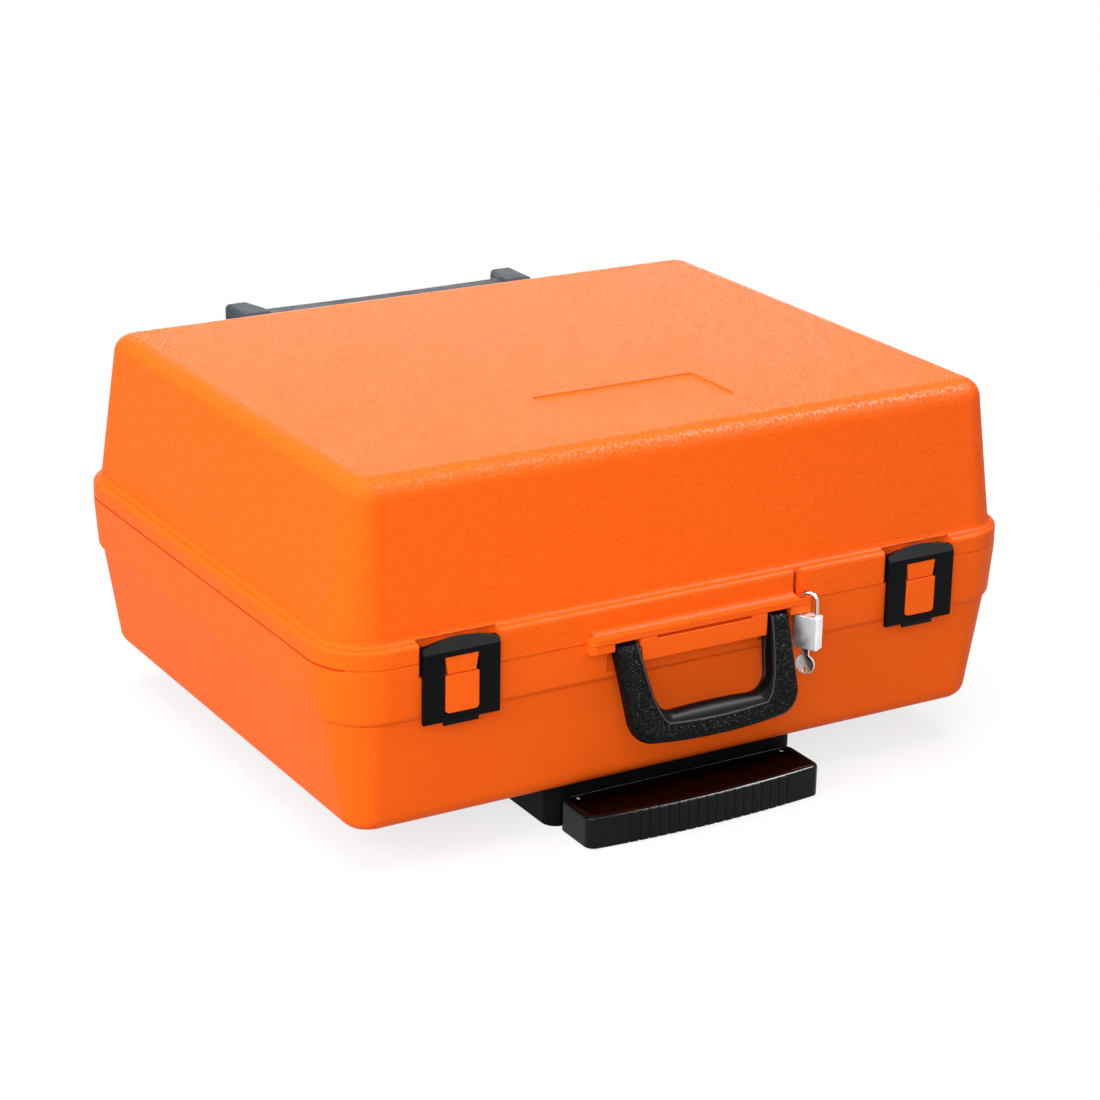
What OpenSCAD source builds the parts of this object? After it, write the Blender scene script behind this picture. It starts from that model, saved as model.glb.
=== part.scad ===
// Moulded carrying case on a low trolley, lying flat with its latches to the front.
// X runs along the front, Y from front to back, Z up. The origin is on the floor, under the case's middle.

/* [Case] */
// Width over the rim band
case_w = 600; // [520:1:680]
// Depth over the rim band
case_d = 478; // [420:1:560]
// Plan radius of the rim band's corners
corner_r = 45; // [36:1:60]
// Height of the base, from its underside to the parting line at the sides
base_h = 133.5; // [120:0.5:170]
// Height of the lid above that parting line
lid_h = 133; // [100:0.5:180]
// Moulded wall thickness
wall = 4; // [3:0.5:5]
// How far the lid's front edge hangs below the parting line between the latches
front_drop = 11; // [8:0.5:14]
// Gap left between lid and base
seam = 0.4; // [0.3:0.1:1]
// Radial clearance of every pin in its running bore
fit = 0.05; // [0.02:0.01:0.1]

/* [Base shell] */
// Height of the rim band on the base
band_h = 45; // [40:1:50]
// Draft of the rim band over its height
band_draft = 2.5; // [1:0.5:4]
// Radius under the rim band
band_r = 6; // [3:0.5:8]
// How far the wall steps in below the band
base_step = 7; // [4:0.5:9]
// Side walls draw in by this much at the bottom
base_in_x = 20; // [10:0.5:24]
// Front and back walls draw in by this much at the bottom
base_in_y = 15.5; // [9:0.5:18]
// Plan radius of the corners at the bottom
base_foot_r = 23; // [18:1:34]
// Radius of the bottom edge
base_edge_r = 14; // [9:1:18]
// Height of the locating lip inside the rim
lip_h = 5; // [3:0.5:8]

/* [Lid shell] */
// Height of the rim band on the lid
lid_band_h = 15; // [12:0.5:22]
// Radius on the rim band's top edge
lid_band_r = 4; // [2:0.5:6]
// Width of the ledge between rim band and lid wall
ledge = 8; // [6:0.5:11]
// Radius of the hollow fillet at the foot of the lid wall
ledge_r = 4; // [2:0.5:5]
// Side walls draw in by this much at the top
lid_in_x = 23; // [14:0.5:30]
// Front and back walls draw in by this much at the top
lid_in_y = 17.5; // [11:0.5:24]
// Plan radius of the corners at the top
lid_top_r = 20; // [18:1:34]
// Radius of the lid's top edge
lid_edge_r = 16; // [9:1:18]
// Width of the sunk label panel on the lid
label_w = 144; // [100:1:200]
// Length of the sunk label panel, front to back
label_d = 62; // [40:1:100]
// Depth of the sunk label panel
label_depth = 0.9; // [0.4:0.1:1.5]
// Middle of the label panel, to the right of the case's middle
label_x = 8.7; // [0:0.1:60]
// Middle of the label panel, in front of the case's middle
label_y = 127; // [60:1:140]

/* [Back hinges] */
// Distance of each hinge's middle from the end of the case
hinge_inset = 130; // [100:1:170]
// Length of each hinge
hinge_len = 84; // [60:1:110]
// Number of knuckles in each hinge
knuckles = 5; // [3:2:7]
// Diameter of the hinge pins
hinge_pin_d = 4; // [3:0.5:5]
// Outer radius of the knuckles
knuckle_r = 4.6; // [4.2:0.1:5]
// Gap between neighbouring knuckles
knuckle_gap = 0.4; // [0.3:0.1:0.8]

/* [Latches] */
// Distance of each latch's middle from the end of the case
latch_inset = 97.5; // [85:0.5:110]
// Width of the latch frame
latch_w = 62; // [54:1:70]
// Height of the latch frame at its corners
latch_h = 57; // [54:0.5:60]
// Rise of the arched top
latch_arch = 5; // [3:0.5:6]
// Width of the window in the frame
latch_window_w = 28; // [24:0.5:32]
// Width of the side bars' lower cross bar
latch_bar = 6; // [5:0.5:7]
// How far the frame stands proud of the rim band
latch_proud = 4; // [3.5:0.5:6]
// Diameter of the latch pins
latch_pin_d = 2.5; // [2:0.1:2.6]

/* [Hasp and handle bracket] */
// Width of the lid flange and of the ledge below it
flange_w = 196; // [184:1:220]
// How far the lid flange stands out of the rim band
flange_out = 9.5; // [9:0.5:12]
// Thickness of the lid flange
flange_t = 5; // [4:0.5:6]
// Thickness of the ledge on the base
shelf_t = 6.5; // [5:0.5:7]
// Width of the handle bracket
bracket_w = 110; // [90:1:112]
// Height of the handle bracket
bracket_h = 17.5; // [16:0.5:20]
// How far the bracket stands out of the rim band
bracket_out = 10; // [9:0.5:12]
// Width of the finger slot over the bracket
finger_slot_w = 85; // [60:1:88]
// Depth of the finger slot cut in the bracket's top
finger_slot_h = 2; // [1:0.5:3]

/* [Carry handle] */
// Width over the arms
handle_w = 153; // [148:1:158]
// Length from the pivot to the ends of the grip bar's outer edge
handle_reach = 70.5; // [66:0.5:80]
// How far the grip bar's outer edge bows out at the middle
handle_bow = 3; // [0:0.5:5]
// Width of the arms at the pivot
handle_arm = 19; // [16:0.5:20]
// Width of the grip bar at its ends
handle_bar = 22; // [18:0.5:26]
// Radius of the handle's outer corners
handle_r = 20; // [16:1:24]
// Radius of the handle's inner corners
handle_inner_r = 17; // [10:1:20]
// How far the arms lean in toward the grip bar
handle_taper = 2.5; // [0:0.5:4]
// How much wider the arms are where they meet the grip bar
handle_flare = 3; // [0:0.5:4]
// Thickness of the handle
handle_t = 16; // [14:0.5:17]
// Lean of the hanging handle away from the case
handle_lean = 21; // [18:1:28]
// Diameter of the pivot pins
handle_pin_d = 6; // [4:0.5:6]

/* [Padlock] */
// Width of the padlock's body
lock_w = 20.5; // [18:0.5:21]
// Thickness of the padlock's body
lock_t = 10.5; // [9:0.5:11]
// Height of the padlock's body
lock_h = 26; // [22:0.5:30]
// Diameter of the shackle
shackle_d = 3.2; // [2.6:0.1:3.4]
// Distance between the shackle's legs
shackle_gap = 13.5; // [13:0.5:14]
// Turn of the hanging padlock about the vertical
lock_turn = -60; // [-66:1:-58]
// Diameter of the key's bow
key_bow_d = 16; // [14:0.5:18]
// Length of the key's neck between padlock and bow
key_neck = 7; // [4:0.5:9]
// Thickness of the key
key_t = 2; // [1.6:0.1:2.4]

/* [Trolley] */
// Width of the chassis under the case
chassis_w = 221; // [212:1:228]
// Height of the chassis
chassis_h = 33; // [32:0.5:40]
// Distance of the chassis front from the case front
chassis_set_back = 26; // [20:1:40]
// Wall thickness of the chassis
chassis_wall = 4; // [3:0.5:5]
// Distance of the tubes from the middle
tube_x = 78; // [60:1:84]
// Outer diameter of the fixed tubes
tube_d = 21; // [19:0.5:21]
// Wall thickness of every tube
tube_wall = 1.2; // [1:0.1:1.4]
// Radial gap between one tube and the next
tube_gap = 0.4; // [0.3:0.1:0.6]
// Clear length between the back of the tubes and the chassis end
tube_back = 14; // [10:1:30]

/* [Trolley grip] */
// Width of the grip
grip_w = 208; // [200:1:216]
// Depth of the grip, front to back
grip_d = 51; // [44:1:56]
// Height of the grip
grip_h = 25.5; // [24:0.5:31]
// How far the front of the grip bows out
grip_bow = 6; // [2:0.5:10]
// Plan radius of the grip's corners
grip_r = 8; // [4:0.5:10]
// Radius of the grip's top edge
grip_edge_r = 3; // [1:0.5:4]
// Number of grooves across the front
grip_grooves = 18; // [8:1:21]
// Pitch of the grooves
groove_pitch = 8.3; // [7:0.1:8.6]
// Radius of the grooves
groove_r = 0.9; // [0.5:0.1:1.2]
// Distance of the cover screws from the middle
grip_screw_x = 92; // [84:0.5:93]

/* [Wheels and toe plate] */
// Diameter of the wheels
wheel_d = 60; // [54:1:62]
// Width of the wheels
wheel_w = 20; // [16:1:24]
// Diameter of the axle
axle_d = 8; // [6:0.5:10]
// Distance of the axle behind the case
axle_back = 23; // [20:0.5:30]
// Height of the toe plate's edge above the floor
toe_top = 285; // [220:1:300]
// Thickness of the toe plate
toe_t = 20; // [16:1:21]
// Width of the toe plate over its feet
toe_w = 280; // [276:1:300]
// Width of each foot on the toe plate
foot_w = 21.5; // [16:0.5:26]
// Height of each foot
foot_h = 26; // [18:1:34]
// Radius of the feet's edges
foot_round = 4; // [2:0.5:5]
// How much wider each foot is where it leaves the plate
foot_flare = 6; // [0:0.5:8]
// How far the feet stand above the toe plate's edge
foot_rise = 2.5; // [1:0.5:5]
// Sag of the toe plate's edge between the feet
toe_sag = 1; // [0.5:0.5:6]

/* [Hidden] */
$fn = 64;
eps = 0.01;

orange = "#ff6a1f";
black = "#1c1d1f";
charcoal = "#4b5558";
steel = "#c9cccf";
brass = "#c8a75a";

front_y = -case_d / 2;
back_y = case_d / 2;
case_z = chassis_h;
part_z = case_z + base_h;
part_front_z = part_z - front_drop;
step_z = part_z - band_h;
ledge_z = part_z + lid_band_h;
top_z = part_z + lid_h;
base_wall_r = corner_r - base_step - 3;
lid_wall_r = corner_r - ledge - 5;
form_fn = 48;
edge_fn = 24;

hinge_x = case_w / 2 - hinge_inset;
latch_x = case_w / 2 - latch_inset;
latch_slack = 1.5;
latch_run = 0.5;
latch_back = 0.4;
knuckle_run = 0.35;
latch_top = ledge_z + 0.5;
latch_side_z = latch_top - latch_arch;
latch_low = latch_side_z - latch_h;
latch_pin_y = front_y + 2.7;
latch_pin_z = latch_side_z - 0.2;
latch_knuckle_r = latch_pin_d / 2 + 1;
latch_front = front_y - latch_proud;
window_top = latch_side_z - 7.5;
window_low = latch_low + latch_bar;
pocket_y = front_y + ledge + 0.6;
pocket_w = latch_w + 2 * latch_slack;
drop_half = latch_x + pocket_w / 2;
skirt_half = drop_half - 2;

// The hasp hole lies beside the handle, and the flange runs past the hole
lock_room = 12;
hasp_edge = 9.5;
lock_x = handle_w / 2 + lock_room;
flange_half = max(flange_w / 2, lock_x + hasp_edge);
flange_z = part_front_z + seam;
flange_top = flange_z + flange_t;
shelf_top = part_front_z;
shelf_low = shelf_top - shelf_t;
bracket_low = shelf_top - bracket_h;
arm_x = handle_w / 2 - handle_arm / 2;
arm_room = 1.5;
pivot_z = shelf_top - handle_t / 2 - 2;
pivot_y = front_y - bracket_out + handle_pin_d / 2 + 2.5;
recess_y = pivot_y + handle_t / 2 + 1.2;

lock_reach_y = 5.2;
lock_leg = [lock_x, front_y - lock_reach_y];
lock_dir = [cos(lock_turn), sin(lock_turn)];
lock_mid = lock_leg + lock_dir * shackle_gap / 2;
shackle_z = flange_top - 2.2;
lock_top = shelf_low - 1.2;
hasp_hole_r = shackle_d / 2 + 0.7;

tube_z = tube_d / 2 + 3.8;
chassis_front = front_y + chassis_set_back;
chassis_end = back_y + 2;
middle_d = tube_d - 2 * tube_wall - 2 * tube_gap;
inner_d = middle_d - 2 * tube_wall - 2 * tube_gap;
tube_front = chassis_front - 0.5;
tube_end = chassis_end - chassis_wall - tube_back;
collar_len = 16;
stop_len = 14;
grip_back = chassis_front - 1.2;
grip_front = grip_back - grip_d;
grip_low = 0.4;

axle_y = back_y + axle_back;
axle_z = wheel_d / 2 + 1;
// The axle ends just outside the toe plate's sides, with a wheel under each shoulder of the plate
axle_over = 1.5;
cap_depth = 6;
cap_end = 1.5;
wheel_play = 1;
spacer_least = 7;
arch_room = 2;
axle_len = toe_w + 2 * axle_over;
wheel_x = axle_len / 2 - cap_depth - wheel_play - wheel_w / 2;
lug_w = 12;
lug_inset = 3;
lug_x = min(chassis_w / 2 - lug_inset, wheel_x - wheel_w / 2 - spacer_least) - lug_w / 2;
foot_end = axle_y + wheel_d / 2 + 2;

// Rounded rectangle with true arcs, centred
module rounded(w, d, r) {
    square([w - 2 * r, d], center = true);
    square([w, d - 2 * r], center = true);
    for (x = [-1, 1], y = [-1, 1])
        translate([x * (w / 2 - r), y * (d / 2 - r)])
            circle(r);
}

module slab(w, d, r, h) {
    linear_extrude(h)
        rounded(w, d, r);
}

// Box from its low corner to its high corner
module span(low, high) {
    translate(low)
        cube(high - low);
}

// Four posts at the corners of a rounded rectangle
module posts(w, d, r, h) {
    for (x = [-1, 1], y = [-1, 1])
        translate([x * (w / 2 - r), y * (d / 2 - r), 0])
            cylinder(r = r, h = h, $fn = form_fn);
}

// Four rings at the corners of a rounded rectangle, which round its edge
module rings(w, d, r, edge_r) {
    for (x = [-1, 1], y = [-1, 1])
        translate([x * (w / 2 - r), y * (d / 2 - r), 0])
            rotate_extrude($fn = form_fn)
                intersection() {
                    translate([r - edge_r, 0])
                        circle(edge_r, $fn = edge_fn);
                    translate([0, -edge_r])
                        square([r, 2 * edge_r]);
                }
}

// Upright form on a convex plan, with its top edge rounded
module soft_top(h, r) {
    steps = 5;
    hull()
        for (i = [0 : steps])
            let (a = 90 * i / steps)
            linear_extrude(h - r + r * sin(a))
                offset(delta = -r * (1 - cos(a)))
                    children();
}

// Cylinder along X, centred
module bar_x(r, len) {
    rotate([0, 90, 0])
        cylinder(r = r, h = len, center = true);
}

// Shape drawn in X and Z, given thickness along Y from near to far
module upright(near, far) {
    translate([0, far, 0])
        rotate([90, 0, 0])
            linear_extrude(far - near)
                children();
}

// Shape drawn in Y and Z, given length along X, centred
module across(len) {
    rotate([90, 0, 90])
        translate([0, 0, -len / 2])
            linear_extrude(len)
                children();
}

module both_sides(x) {
    for (side = [-1, 1])
        translate([side * x, 0, 0])
            children();
}

// Moulded case

module base_form(inset) {
    hull() {
        translate([0, 0, step_z])
            posts(case_w - 2 * (base_step + inset), case_d - 2 * (base_step + inset), base_wall_r,
                band_h - band_r);
        translate([0, 0, case_z + base_edge_r])
            rings(case_w - 2 * (base_in_x + inset), case_d - 2 * (base_in_y + inset), base_foot_r,
                base_edge_r - inset);
    }
}

module base_band() {
    hull() {
        translate([0, 0, part_z - band_r])
            posts(case_w, case_d, corner_r, band_r);
        translate([0, 0, step_z + band_r])
            rings(case_w - 2 * band_draft, case_d - 2 * band_draft, corner_r - band_draft, band_r);
    }
}

// Inside of the base, down to the floor
module base_hollow() {
    base_form(wall);
    translate([0, 0, step_z + wall + band_r])
        slab(case_w - 2 * (wall + band_draft), case_d - 2 * (wall + band_draft),
            corner_r - wall - band_draft, band_h);
}

module base_lip() {
    lip_gap = 0.5;
    difference() {
        translate([0, 0, part_z - 1])
            slab(case_w - 2 * (wall + lip_gap), case_d - 2 * (wall + lip_gap), corner_r - wall - lip_gap,
                lip_h + 1);
        translate([0, 0, part_z - 2])
            slab(case_w - 2 * (wall + band_draft), case_d - 2 * (wall + band_draft),
                corner_r - wall - band_draft, lip_h + 3);
    }
}

// Wall pads inside the base behind the handle arms
module base_backing() {
    both_sides(arm_x)
        span([-handle_arm / 2 - arm_room - wall, front_y + band_draft + 2, step_z + band_r],
            [handle_arm / 2 + arm_room + wall, recess_y + wall, part_front_z]);
}

// Boss that the latch frame hooks under
module lower_lug() {
    lug_low = window_low + latch_run;
    lug_top = part_front_z - 0.3;
    lug_w = latch_window_w - 2 * latch_run;
    corner = 3;
    upright(latch_front - 0.6, front_y + band_draft + 1) {
        translate([-lug_w / 2, lug_low + corner])
            square([lug_w, lug_top - lug_low - corner]);
        translate([-lug_w / 2 + corner, lug_low])
            square([lug_w - 2 * corner, corner + eps]);
        for (x = [-1, 1])
            translate([x * (lug_w / 2 - corner), lug_low + corner])
                circle(corner);
    }
}

module base_shelf() {
    corner = 5;
    translate([0, 0, shelf_low])
        linear_extrude(shelf_t)
            intersection() {
                translate([0, front_y])
                    rounded(2 * flange_half, 2 * flange_out - 2, corner);
                translate([-flange_half, front_y - flange_out])
                    square([2 * flange_half, flange_out + band_draft + 1]);
            }
    span([-bracket_w / 2, front_y - bracket_out, bracket_low],
        [bracket_w / 2, front_y + band_draft + 1, shelf_top]);
}

// One hinge's knuckles: the even ones are on the base, the odd ones on the lid
module hinge_knuckles(odd) {
    pitch = hinge_len / knuckles;
    both_sides(hinge_x)
        for (i = [odd : 2 : knuckles - 1])
            translate([(i + 0.5) * pitch - hinge_len / 2, hinge_y, hinge_z])
                knuckle(pitch - knuckle_gap, odd == 1 ? 1 : -1);
}

hinge_y = back_y + knuckle_r + 0.3;
hinge_z = part_z + seam / 2;

module knuckle(len, up) {
    bar_x(knuckle_r, len);
    // Root that ties the knuckle to its own shell
    root = knuckle_r + 4;
    across(len)
        polygon([
            [0, up * knuckle_r],
            [0, up * seam],
            [-knuckle_r - 0.3 - 1, up * seam],
            [-knuckle_r - 0.3 - 1, up * root],
            [-knuckle_r * 0.6, up * root]
        ]);
}

module hinge_bores() {
    both_sides(hinge_x)
        translate([0, hinge_y, hinge_z])
            bar_x(hinge_pin_d / 2 + fit, hinge_len + 2);
}

// Room cut in one shell for the other one's knuckles
module hinge_room(odd) {
    pitch = hinge_len / knuckles;
    both_sides(hinge_x)
        for (i = [odd : 2 : knuckles - 1])
            translate([(i + 0.5) * pitch - hinge_len / 2, hinge_y, hinge_z])
                bar_x(knuckle_r + 0.6, pitch);
}

screw_x = 44;
screw_pitch_y = 150;
screw_places = [for (x = [-1, 1], y = [-1, 0, 1]) [x * screw_x, y * screw_pitch_y]];
screw_d = 3.5;
screw_bite = 18;
boss_r = 5;

module base_shell() {
    color(orange)
        difference() {
            union() {
                difference() {
                    union() {
                        base_form(0);
                        base_band();
                        base_lip();
                    }
                    base_hollow();
                    // Front edge lowered between the latches
                    span([-drop_half, front_y - 1, part_front_z],
                        [drop_half, front_y + wall + band_draft + 1, part_z + lip_h + 1]);
                }
                base_backing();
                both_sides(latch_x)
                    lower_lug();
                base_shelf();
                hinge_knuckles(0);
            }
            hinge_room(1);
            hinge_bores();
            // Recesses and slots for the handle arms
            both_sides(arm_x)
                span([-handle_arm / 2 - arm_room, front_y - 30, step_z + band_r + 2],
                    [handle_arm / 2 + arm_room, recess_y, part_front_z + 1]);
            // Finger slot over the bracket
            span([-finger_slot_w / 2, front_y - bracket_out - 1, shelf_top - finger_slot_h],
                [finger_slot_w / 2, front_y - bracket_out + 5, shelf_top + 1]);
            translate([0, pivot_y, pivot_z])
                bar_x(handle_pin_d / 2 + fit, 2 * bracket_w);
            translate([lock_leg.x, lock_leg.y, shelf_low - 1])
                cylinder(r = hasp_hole_r, h = shelf_t + 2);
            for (p = screw_places)
                translate([p.x, p.y, case_z - 1])
                    cylinder(r = screw_d / 2 + fit, h = wall + 2);
        }
}

module lid_form(inset) {
    hull() {
        translate([0, 0, ledge_z - 6])
            posts(case_w - 2 * (ledge + inset), case_d - 2 * (ledge + inset), lid_wall_r, 6);
        translate([0, 0, top_z - lid_edge_r])
            rings(case_w - 2 * (lid_in_x + inset), case_d - 2 * (lid_in_y + inset), lid_top_r,
                lid_edge_r - inset);
    }
}

module lid_band() {
    hull() {
        translate([0, 0, flange_z])
            posts(case_w, case_d, corner_r, 1);
        translate([0, 0, ledge_z - lid_band_r])
            rings(case_w, case_d, corner_r, lid_band_r);
    }
}

// Hollow fillet between the ledge and the foot of the lid wall
module ledge_fillet() {
    w = case_w - 2 * ledge;
    d = case_d - 2 * ledge;
    r = lid_wall_r;
    for (side = [0, 1])
        rotate(side * 180) {
            translate([w / 2, 0, ledge_z])
                rotate([90, 0, 0])
                    linear_extrude(d - 2 * r, center = true)
                        fillet_profile(0);
            rotate(90)
                translate([d / 2, 0, ledge_z])
                    rotate([90, 0, 0])
                        linear_extrude(w - 2 * r, center = true)
                            fillet_profile(0);
            for (end = [-1, 1])
                translate([w / 2 - r, end * (d / 2 - r), ledge_z])
                    rotate(end < 0 ? -90 : 0)
                        rotate_extrude(angle = 90)
                            fillet_profile(r);
        }
}

// Section of that fillet, with the foot of the wall at x
module fillet_profile(x) {
    root = 1.5;
    difference() {
        translate([x - root, -eps])
            square([root + ledge_r, ledge_r + eps]);
        translate([x + ledge_r, ledge_r])
            circle(ledge_r);
    }
}

// Inside of the lid and all that lies below its edge
module lid_hollow() {
    low = part_front_z - 1;
    lid_form(wall);
    translate([0, 0, low])
        slab(case_w - 2 * wall, case_d - 2 * wall, corner_r - wall, ledge_z - wall - low);
    span([-case_w, front_y + wall, low], [case_w, case_d, part_z + seam]);
    both_sides(skirt_half + case_w / 2)
        span([-case_w / 2, -case_d, low], [case_w / 2, 0, part_z + seam]);
}

module lid_pockets() {
    both_sides(latch_x) {
        span([-pocket_w / 2 + 1, pocket_y - 1, flange_z],
            [pocket_w / 2 - 1, pocket_y + wall, ledge_z - 1]);
        span([-pocket_w / 2 - wall, front_y + lid_band_r, part_z + lip_h + 1],
            [pocket_w / 2 + wall, pocket_y + wall, ledge_z - 1]);
    }
}

// Boss above the parting line and the two knuckles that carry a latch frame
module upper_lug() {
    lug_top = window_top - latch_run;
    wide = latch_window_w / 2 - latch_run;
    upright(latch_front + 0.4, pocket_y + 1)
        polygon([[-wide + 2, flange_z], [wide - 2, flange_z], [wide, lug_top], [-wide, lug_top]]);
    for (x = [-1, 1])
        translate([x * latch_knuckle_x, latch_pin_y, latch_pin_z]) {
            bar_x(latch_knuckle_r, latch_knuckle_len);
            span([-latch_knuckle_len / 2, 0, -latch_knuckle_r],
                [latch_knuckle_len / 2, pocket_y + 1 - latch_pin_y, 0]);
        }
}

latch_knuckle_x = 12;
latch_knuckle_len = 6;
latch_pin_len = 40;

module lid_flange() {
    corner = 5;
    blend = 6;
    translate([0, 0, flange_z])
        linear_extrude(flange_t)
            intersection() {
                translate([0, front_y])
                    rounded(2 * flange_half, 2 * flange_out, corner);
                translate([-flange_half, front_y - flange_out])
                    square([2 * flange_half, flange_out + 2]);
            }
    // Hollow fillet between flange and rim band
    translate([0, front_y, flange_top])
        across(2 * (flange_half - corner))
            difference() {
                translate([-blend, -eps])
                    square([blend + 1, blend]);
                translate([-blend, blend])
                    circle(blend);
            }
}

module label_panel() {
    translate([label_x, -label_y, top_z - label_depth])
        slab(label_w, label_d, 3, label_depth + 1);
}

module lid_shell() {
    color(orange)
        difference() {
            union() {
                difference() {
                    union() {
                        lid_form(0);
                        lid_band();
                        ledge_fillet();
                    }
                    lid_hollow();
                }
                lid_pockets();
                lid_flange();
                hinge_knuckles(1);
            }
            hinge_room(0);
            hinge_bores();
            both_sides(latch_x)
                span([-pocket_w / 2, front_y - 20, part_front_z - 1],
                    [pocket_w / 2, pocket_y, ledge_z + 1]);
            // Hasp hole and the groove above it that the shackle lies in
            translate([lock_leg.x, lock_leg.y, flange_z - 1])
                cylinder(r = hasp_hole_r, h = flange_t + 8);
            translate([lock_leg.x, front_y, flange_top - 1])
                cylinder(r = 4, h = lid_band_h + front_drop);
            label_panel();
        }
    color(orange)
        both_sides(latch_x)
            difference() {
                upper_lug();
                translate([0, latch_pin_y, latch_pin_z])
                    bar_x(latch_pin_d / 2 + fit, latch_w);
            }
}

module hinge_pins() {
    color(steel)
        both_sides(hinge_x)
            translate([0, hinge_y, hinge_z])
                bar_x(hinge_pin_d / 2, hinge_len);
}

// Latches

module latch_outline() {
    arch_r = (pow(latch_w / 2, 2) + pow(latch_arch, 2)) / (2 * latch_arch);
    tab_w = latch_window_w;
    tab_h = 3.5;
    intersection() {
        translate([-latch_w / 2, latch_low])
            square([latch_w, latch_h + latch_arch]);
        translate([0, latch_top - arch_r])
            circle(arch_r, $fn = 256);
    }
    translate([-tab_w / 2, latch_low - tab_h])
        square([tab_w, tab_h + 1]);
}

module latch_window() {
    translate([-latch_window_w / 2, window_low])
        square([latch_window_w, window_top - window_low]);
}

module latch_frame() {
    barrel_y = latch_pin_y + latch_knuckle_r;
    crest_y = latch_pin_y - 0.4;
    bevel_low = latch_side_z - 5.2;
    color(black)
        difference() {
            union() {
                upright(latch_front, front_y - latch_back)
                    difference() {
                        latch_outline();
                        latch_window();
                    }
                // Arched crest behind the bevel
                upright(front_y - latch_back - 1, crest_y)
                    difference() {
                        intersection() {
                            latch_outline();
                            translate([-latch_w / 2, flange_z + 1])
                                square([latch_w, 2 * latch_h]);
                        }
                        latch_window();
                    }
                // Side arms and pin barrel, sunk in the pocket of the lid
                upright(crest_y - 1, barrel_y)
                    difference() {
                        translate([-latch_w / 2, flange_z + 1])
                            square([latch_w, latch_pin_z + 0.5 - flange_z - 1]);
                        latch_window();
                    }
            }
            // Bevels along the arched top and along the lower edge
            across(2 * latch_w)
                polygon([
                    [latch_front - 1, bevel_low],
                    [crest_y - 0.2, latch_top + 0.5],
                    [latch_front - 1, latch_top + 0.5]
                ]);
            across(2 * latch_w)
                polygon([
                    [latch_front - 1, latch_low + 5],
                    [latch_front + 1.8, latch_low - 5],
                    [latch_front - 1, latch_low - 5]
                ]);
            // Slots for the knuckles on the lid
            for (x = [-1, 1])
                translate([x * latch_knuckle_x, latch_pin_y, latch_pin_z]) {
                    bar_x(latch_knuckle_r + knuckle_run, latch_knuckle_len + 1);
                    span([-latch_knuckle_len / 2 - 0.5, -0.3, -30],
                        [latch_knuckle_len / 2 + 0.5, 20, 20]);
                }
            translate([0, latch_pin_y, latch_pin_z])
                bar_x(latch_pin_d / 2 + fit, latch_pin_len);
        }
}

module latch_frame_left() {
    translate([-latch_x, 0, 0])
        latch_frame();
}

module latch_frame_right() {
    translate([latch_x, 0, 0])
        latch_frame();
}

module latch_pin(x) {
    color(steel)
        translate([x, latch_pin_y, latch_pin_z])
            bar_x(latch_pin_d / 2, latch_pin_len - 0.4);
}

module latch_pin_left() {
    latch_pin(-latch_x);
}

module latch_pin_right() {
    latch_pin(latch_x);
}

// Carry handle, swept between an inner and an outer rail and drawn hanging straight down from its pivot

bend_steps = 9;
bar_steps = 4;
ring_sides = 16;
handle_half = handle_w / 2;
inner_half = handle_half - handle_arm;
inner_lean = handle_taper + handle_flare;
bar_half = handle_half - handle_taper;
gap_half = inner_half - inner_lean;
inner_reach = handle_reach - handle_bar;

// Half of the handle, from the left pivot to the middle: [outer x, outer z, inner x, inner z]
half_rails = concat(
    [for (i = [0 : 3])
        let (s = i / 4)
        [
            -handle_half + s * handle_taper,
            -s * (handle_reach - handle_r),
            -inner_half + s * inner_lean,
            -s * (inner_reach - handle_inner_r)
        ]
    ],
    [for (i = [0 : bend_steps])
        let (a = 90 * i / bend_steps)
        [
            -bar_half + handle_r * (1 - cos(a)),
            -handle_reach + handle_r * (1 - sin(a)),
            -gap_half + handle_inner_r * (1 - cos(a)),
            -inner_reach + handle_inner_r * (1 - sin(a))
        ]
    ],
    [for (i = [1 : bar_steps])
        let (s = i / bar_steps, swell = handle_bow * (1 - pow(1 - s, 2)))
        [
            -(bar_half - handle_r) * (1 - s),
            -handle_reach - swell,
            -(gap_half - handle_inner_r) * (1 - s),
            -inner_reach + swell / 3
        ]
    ]
);
rails = concat(
    half_rails,
    [for (i = [len(half_rails) - 2 : -1 : 0]) let (p = half_rails[i]) [-p[0], p[1], -p[2], p[3]]]
);

// Rounded section between the two rails
function section_ring(p) = [
    for (i = [0 : ring_sides - 1])
        let (
            a = 360 * i / ring_sides + 180 / ring_sides,
            u = sign(cos(a)) * pow(abs(cos(a)), 0.6) / 2,
            v = handle_t / 2 * sign(sin(a)) * pow(abs(sin(a)), 0.6)
        )
        [
            (p[0] + p[2]) / 2 + u * (p[0] - p[2]),
            v,
            (p[1] + p[3]) / 2 + u * (p[1] - p[3])
        ]
];

module handle_sweep() {
    rows = len(rails);
    points = [for (p = rails) each section_ring(p)];
    faces = concat(
        [for (r = [0 : rows - 2], i = [0 : ring_sides - 1])
            let (j = (i + 1) % ring_sides, a = r * ring_sides, b = a + ring_sides)
            each [[a + i, b + j, a + j], [a + i, b + i, b + j]]
        ],
        [[for (i = [0 : ring_sides - 1]) i]],
        [[for (i = [ring_sides - 1 : -1 : 0]) (rows - 1) * ring_sides + i]]
    );
    polyhedron(points, faces, convexity = 4);
}

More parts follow.
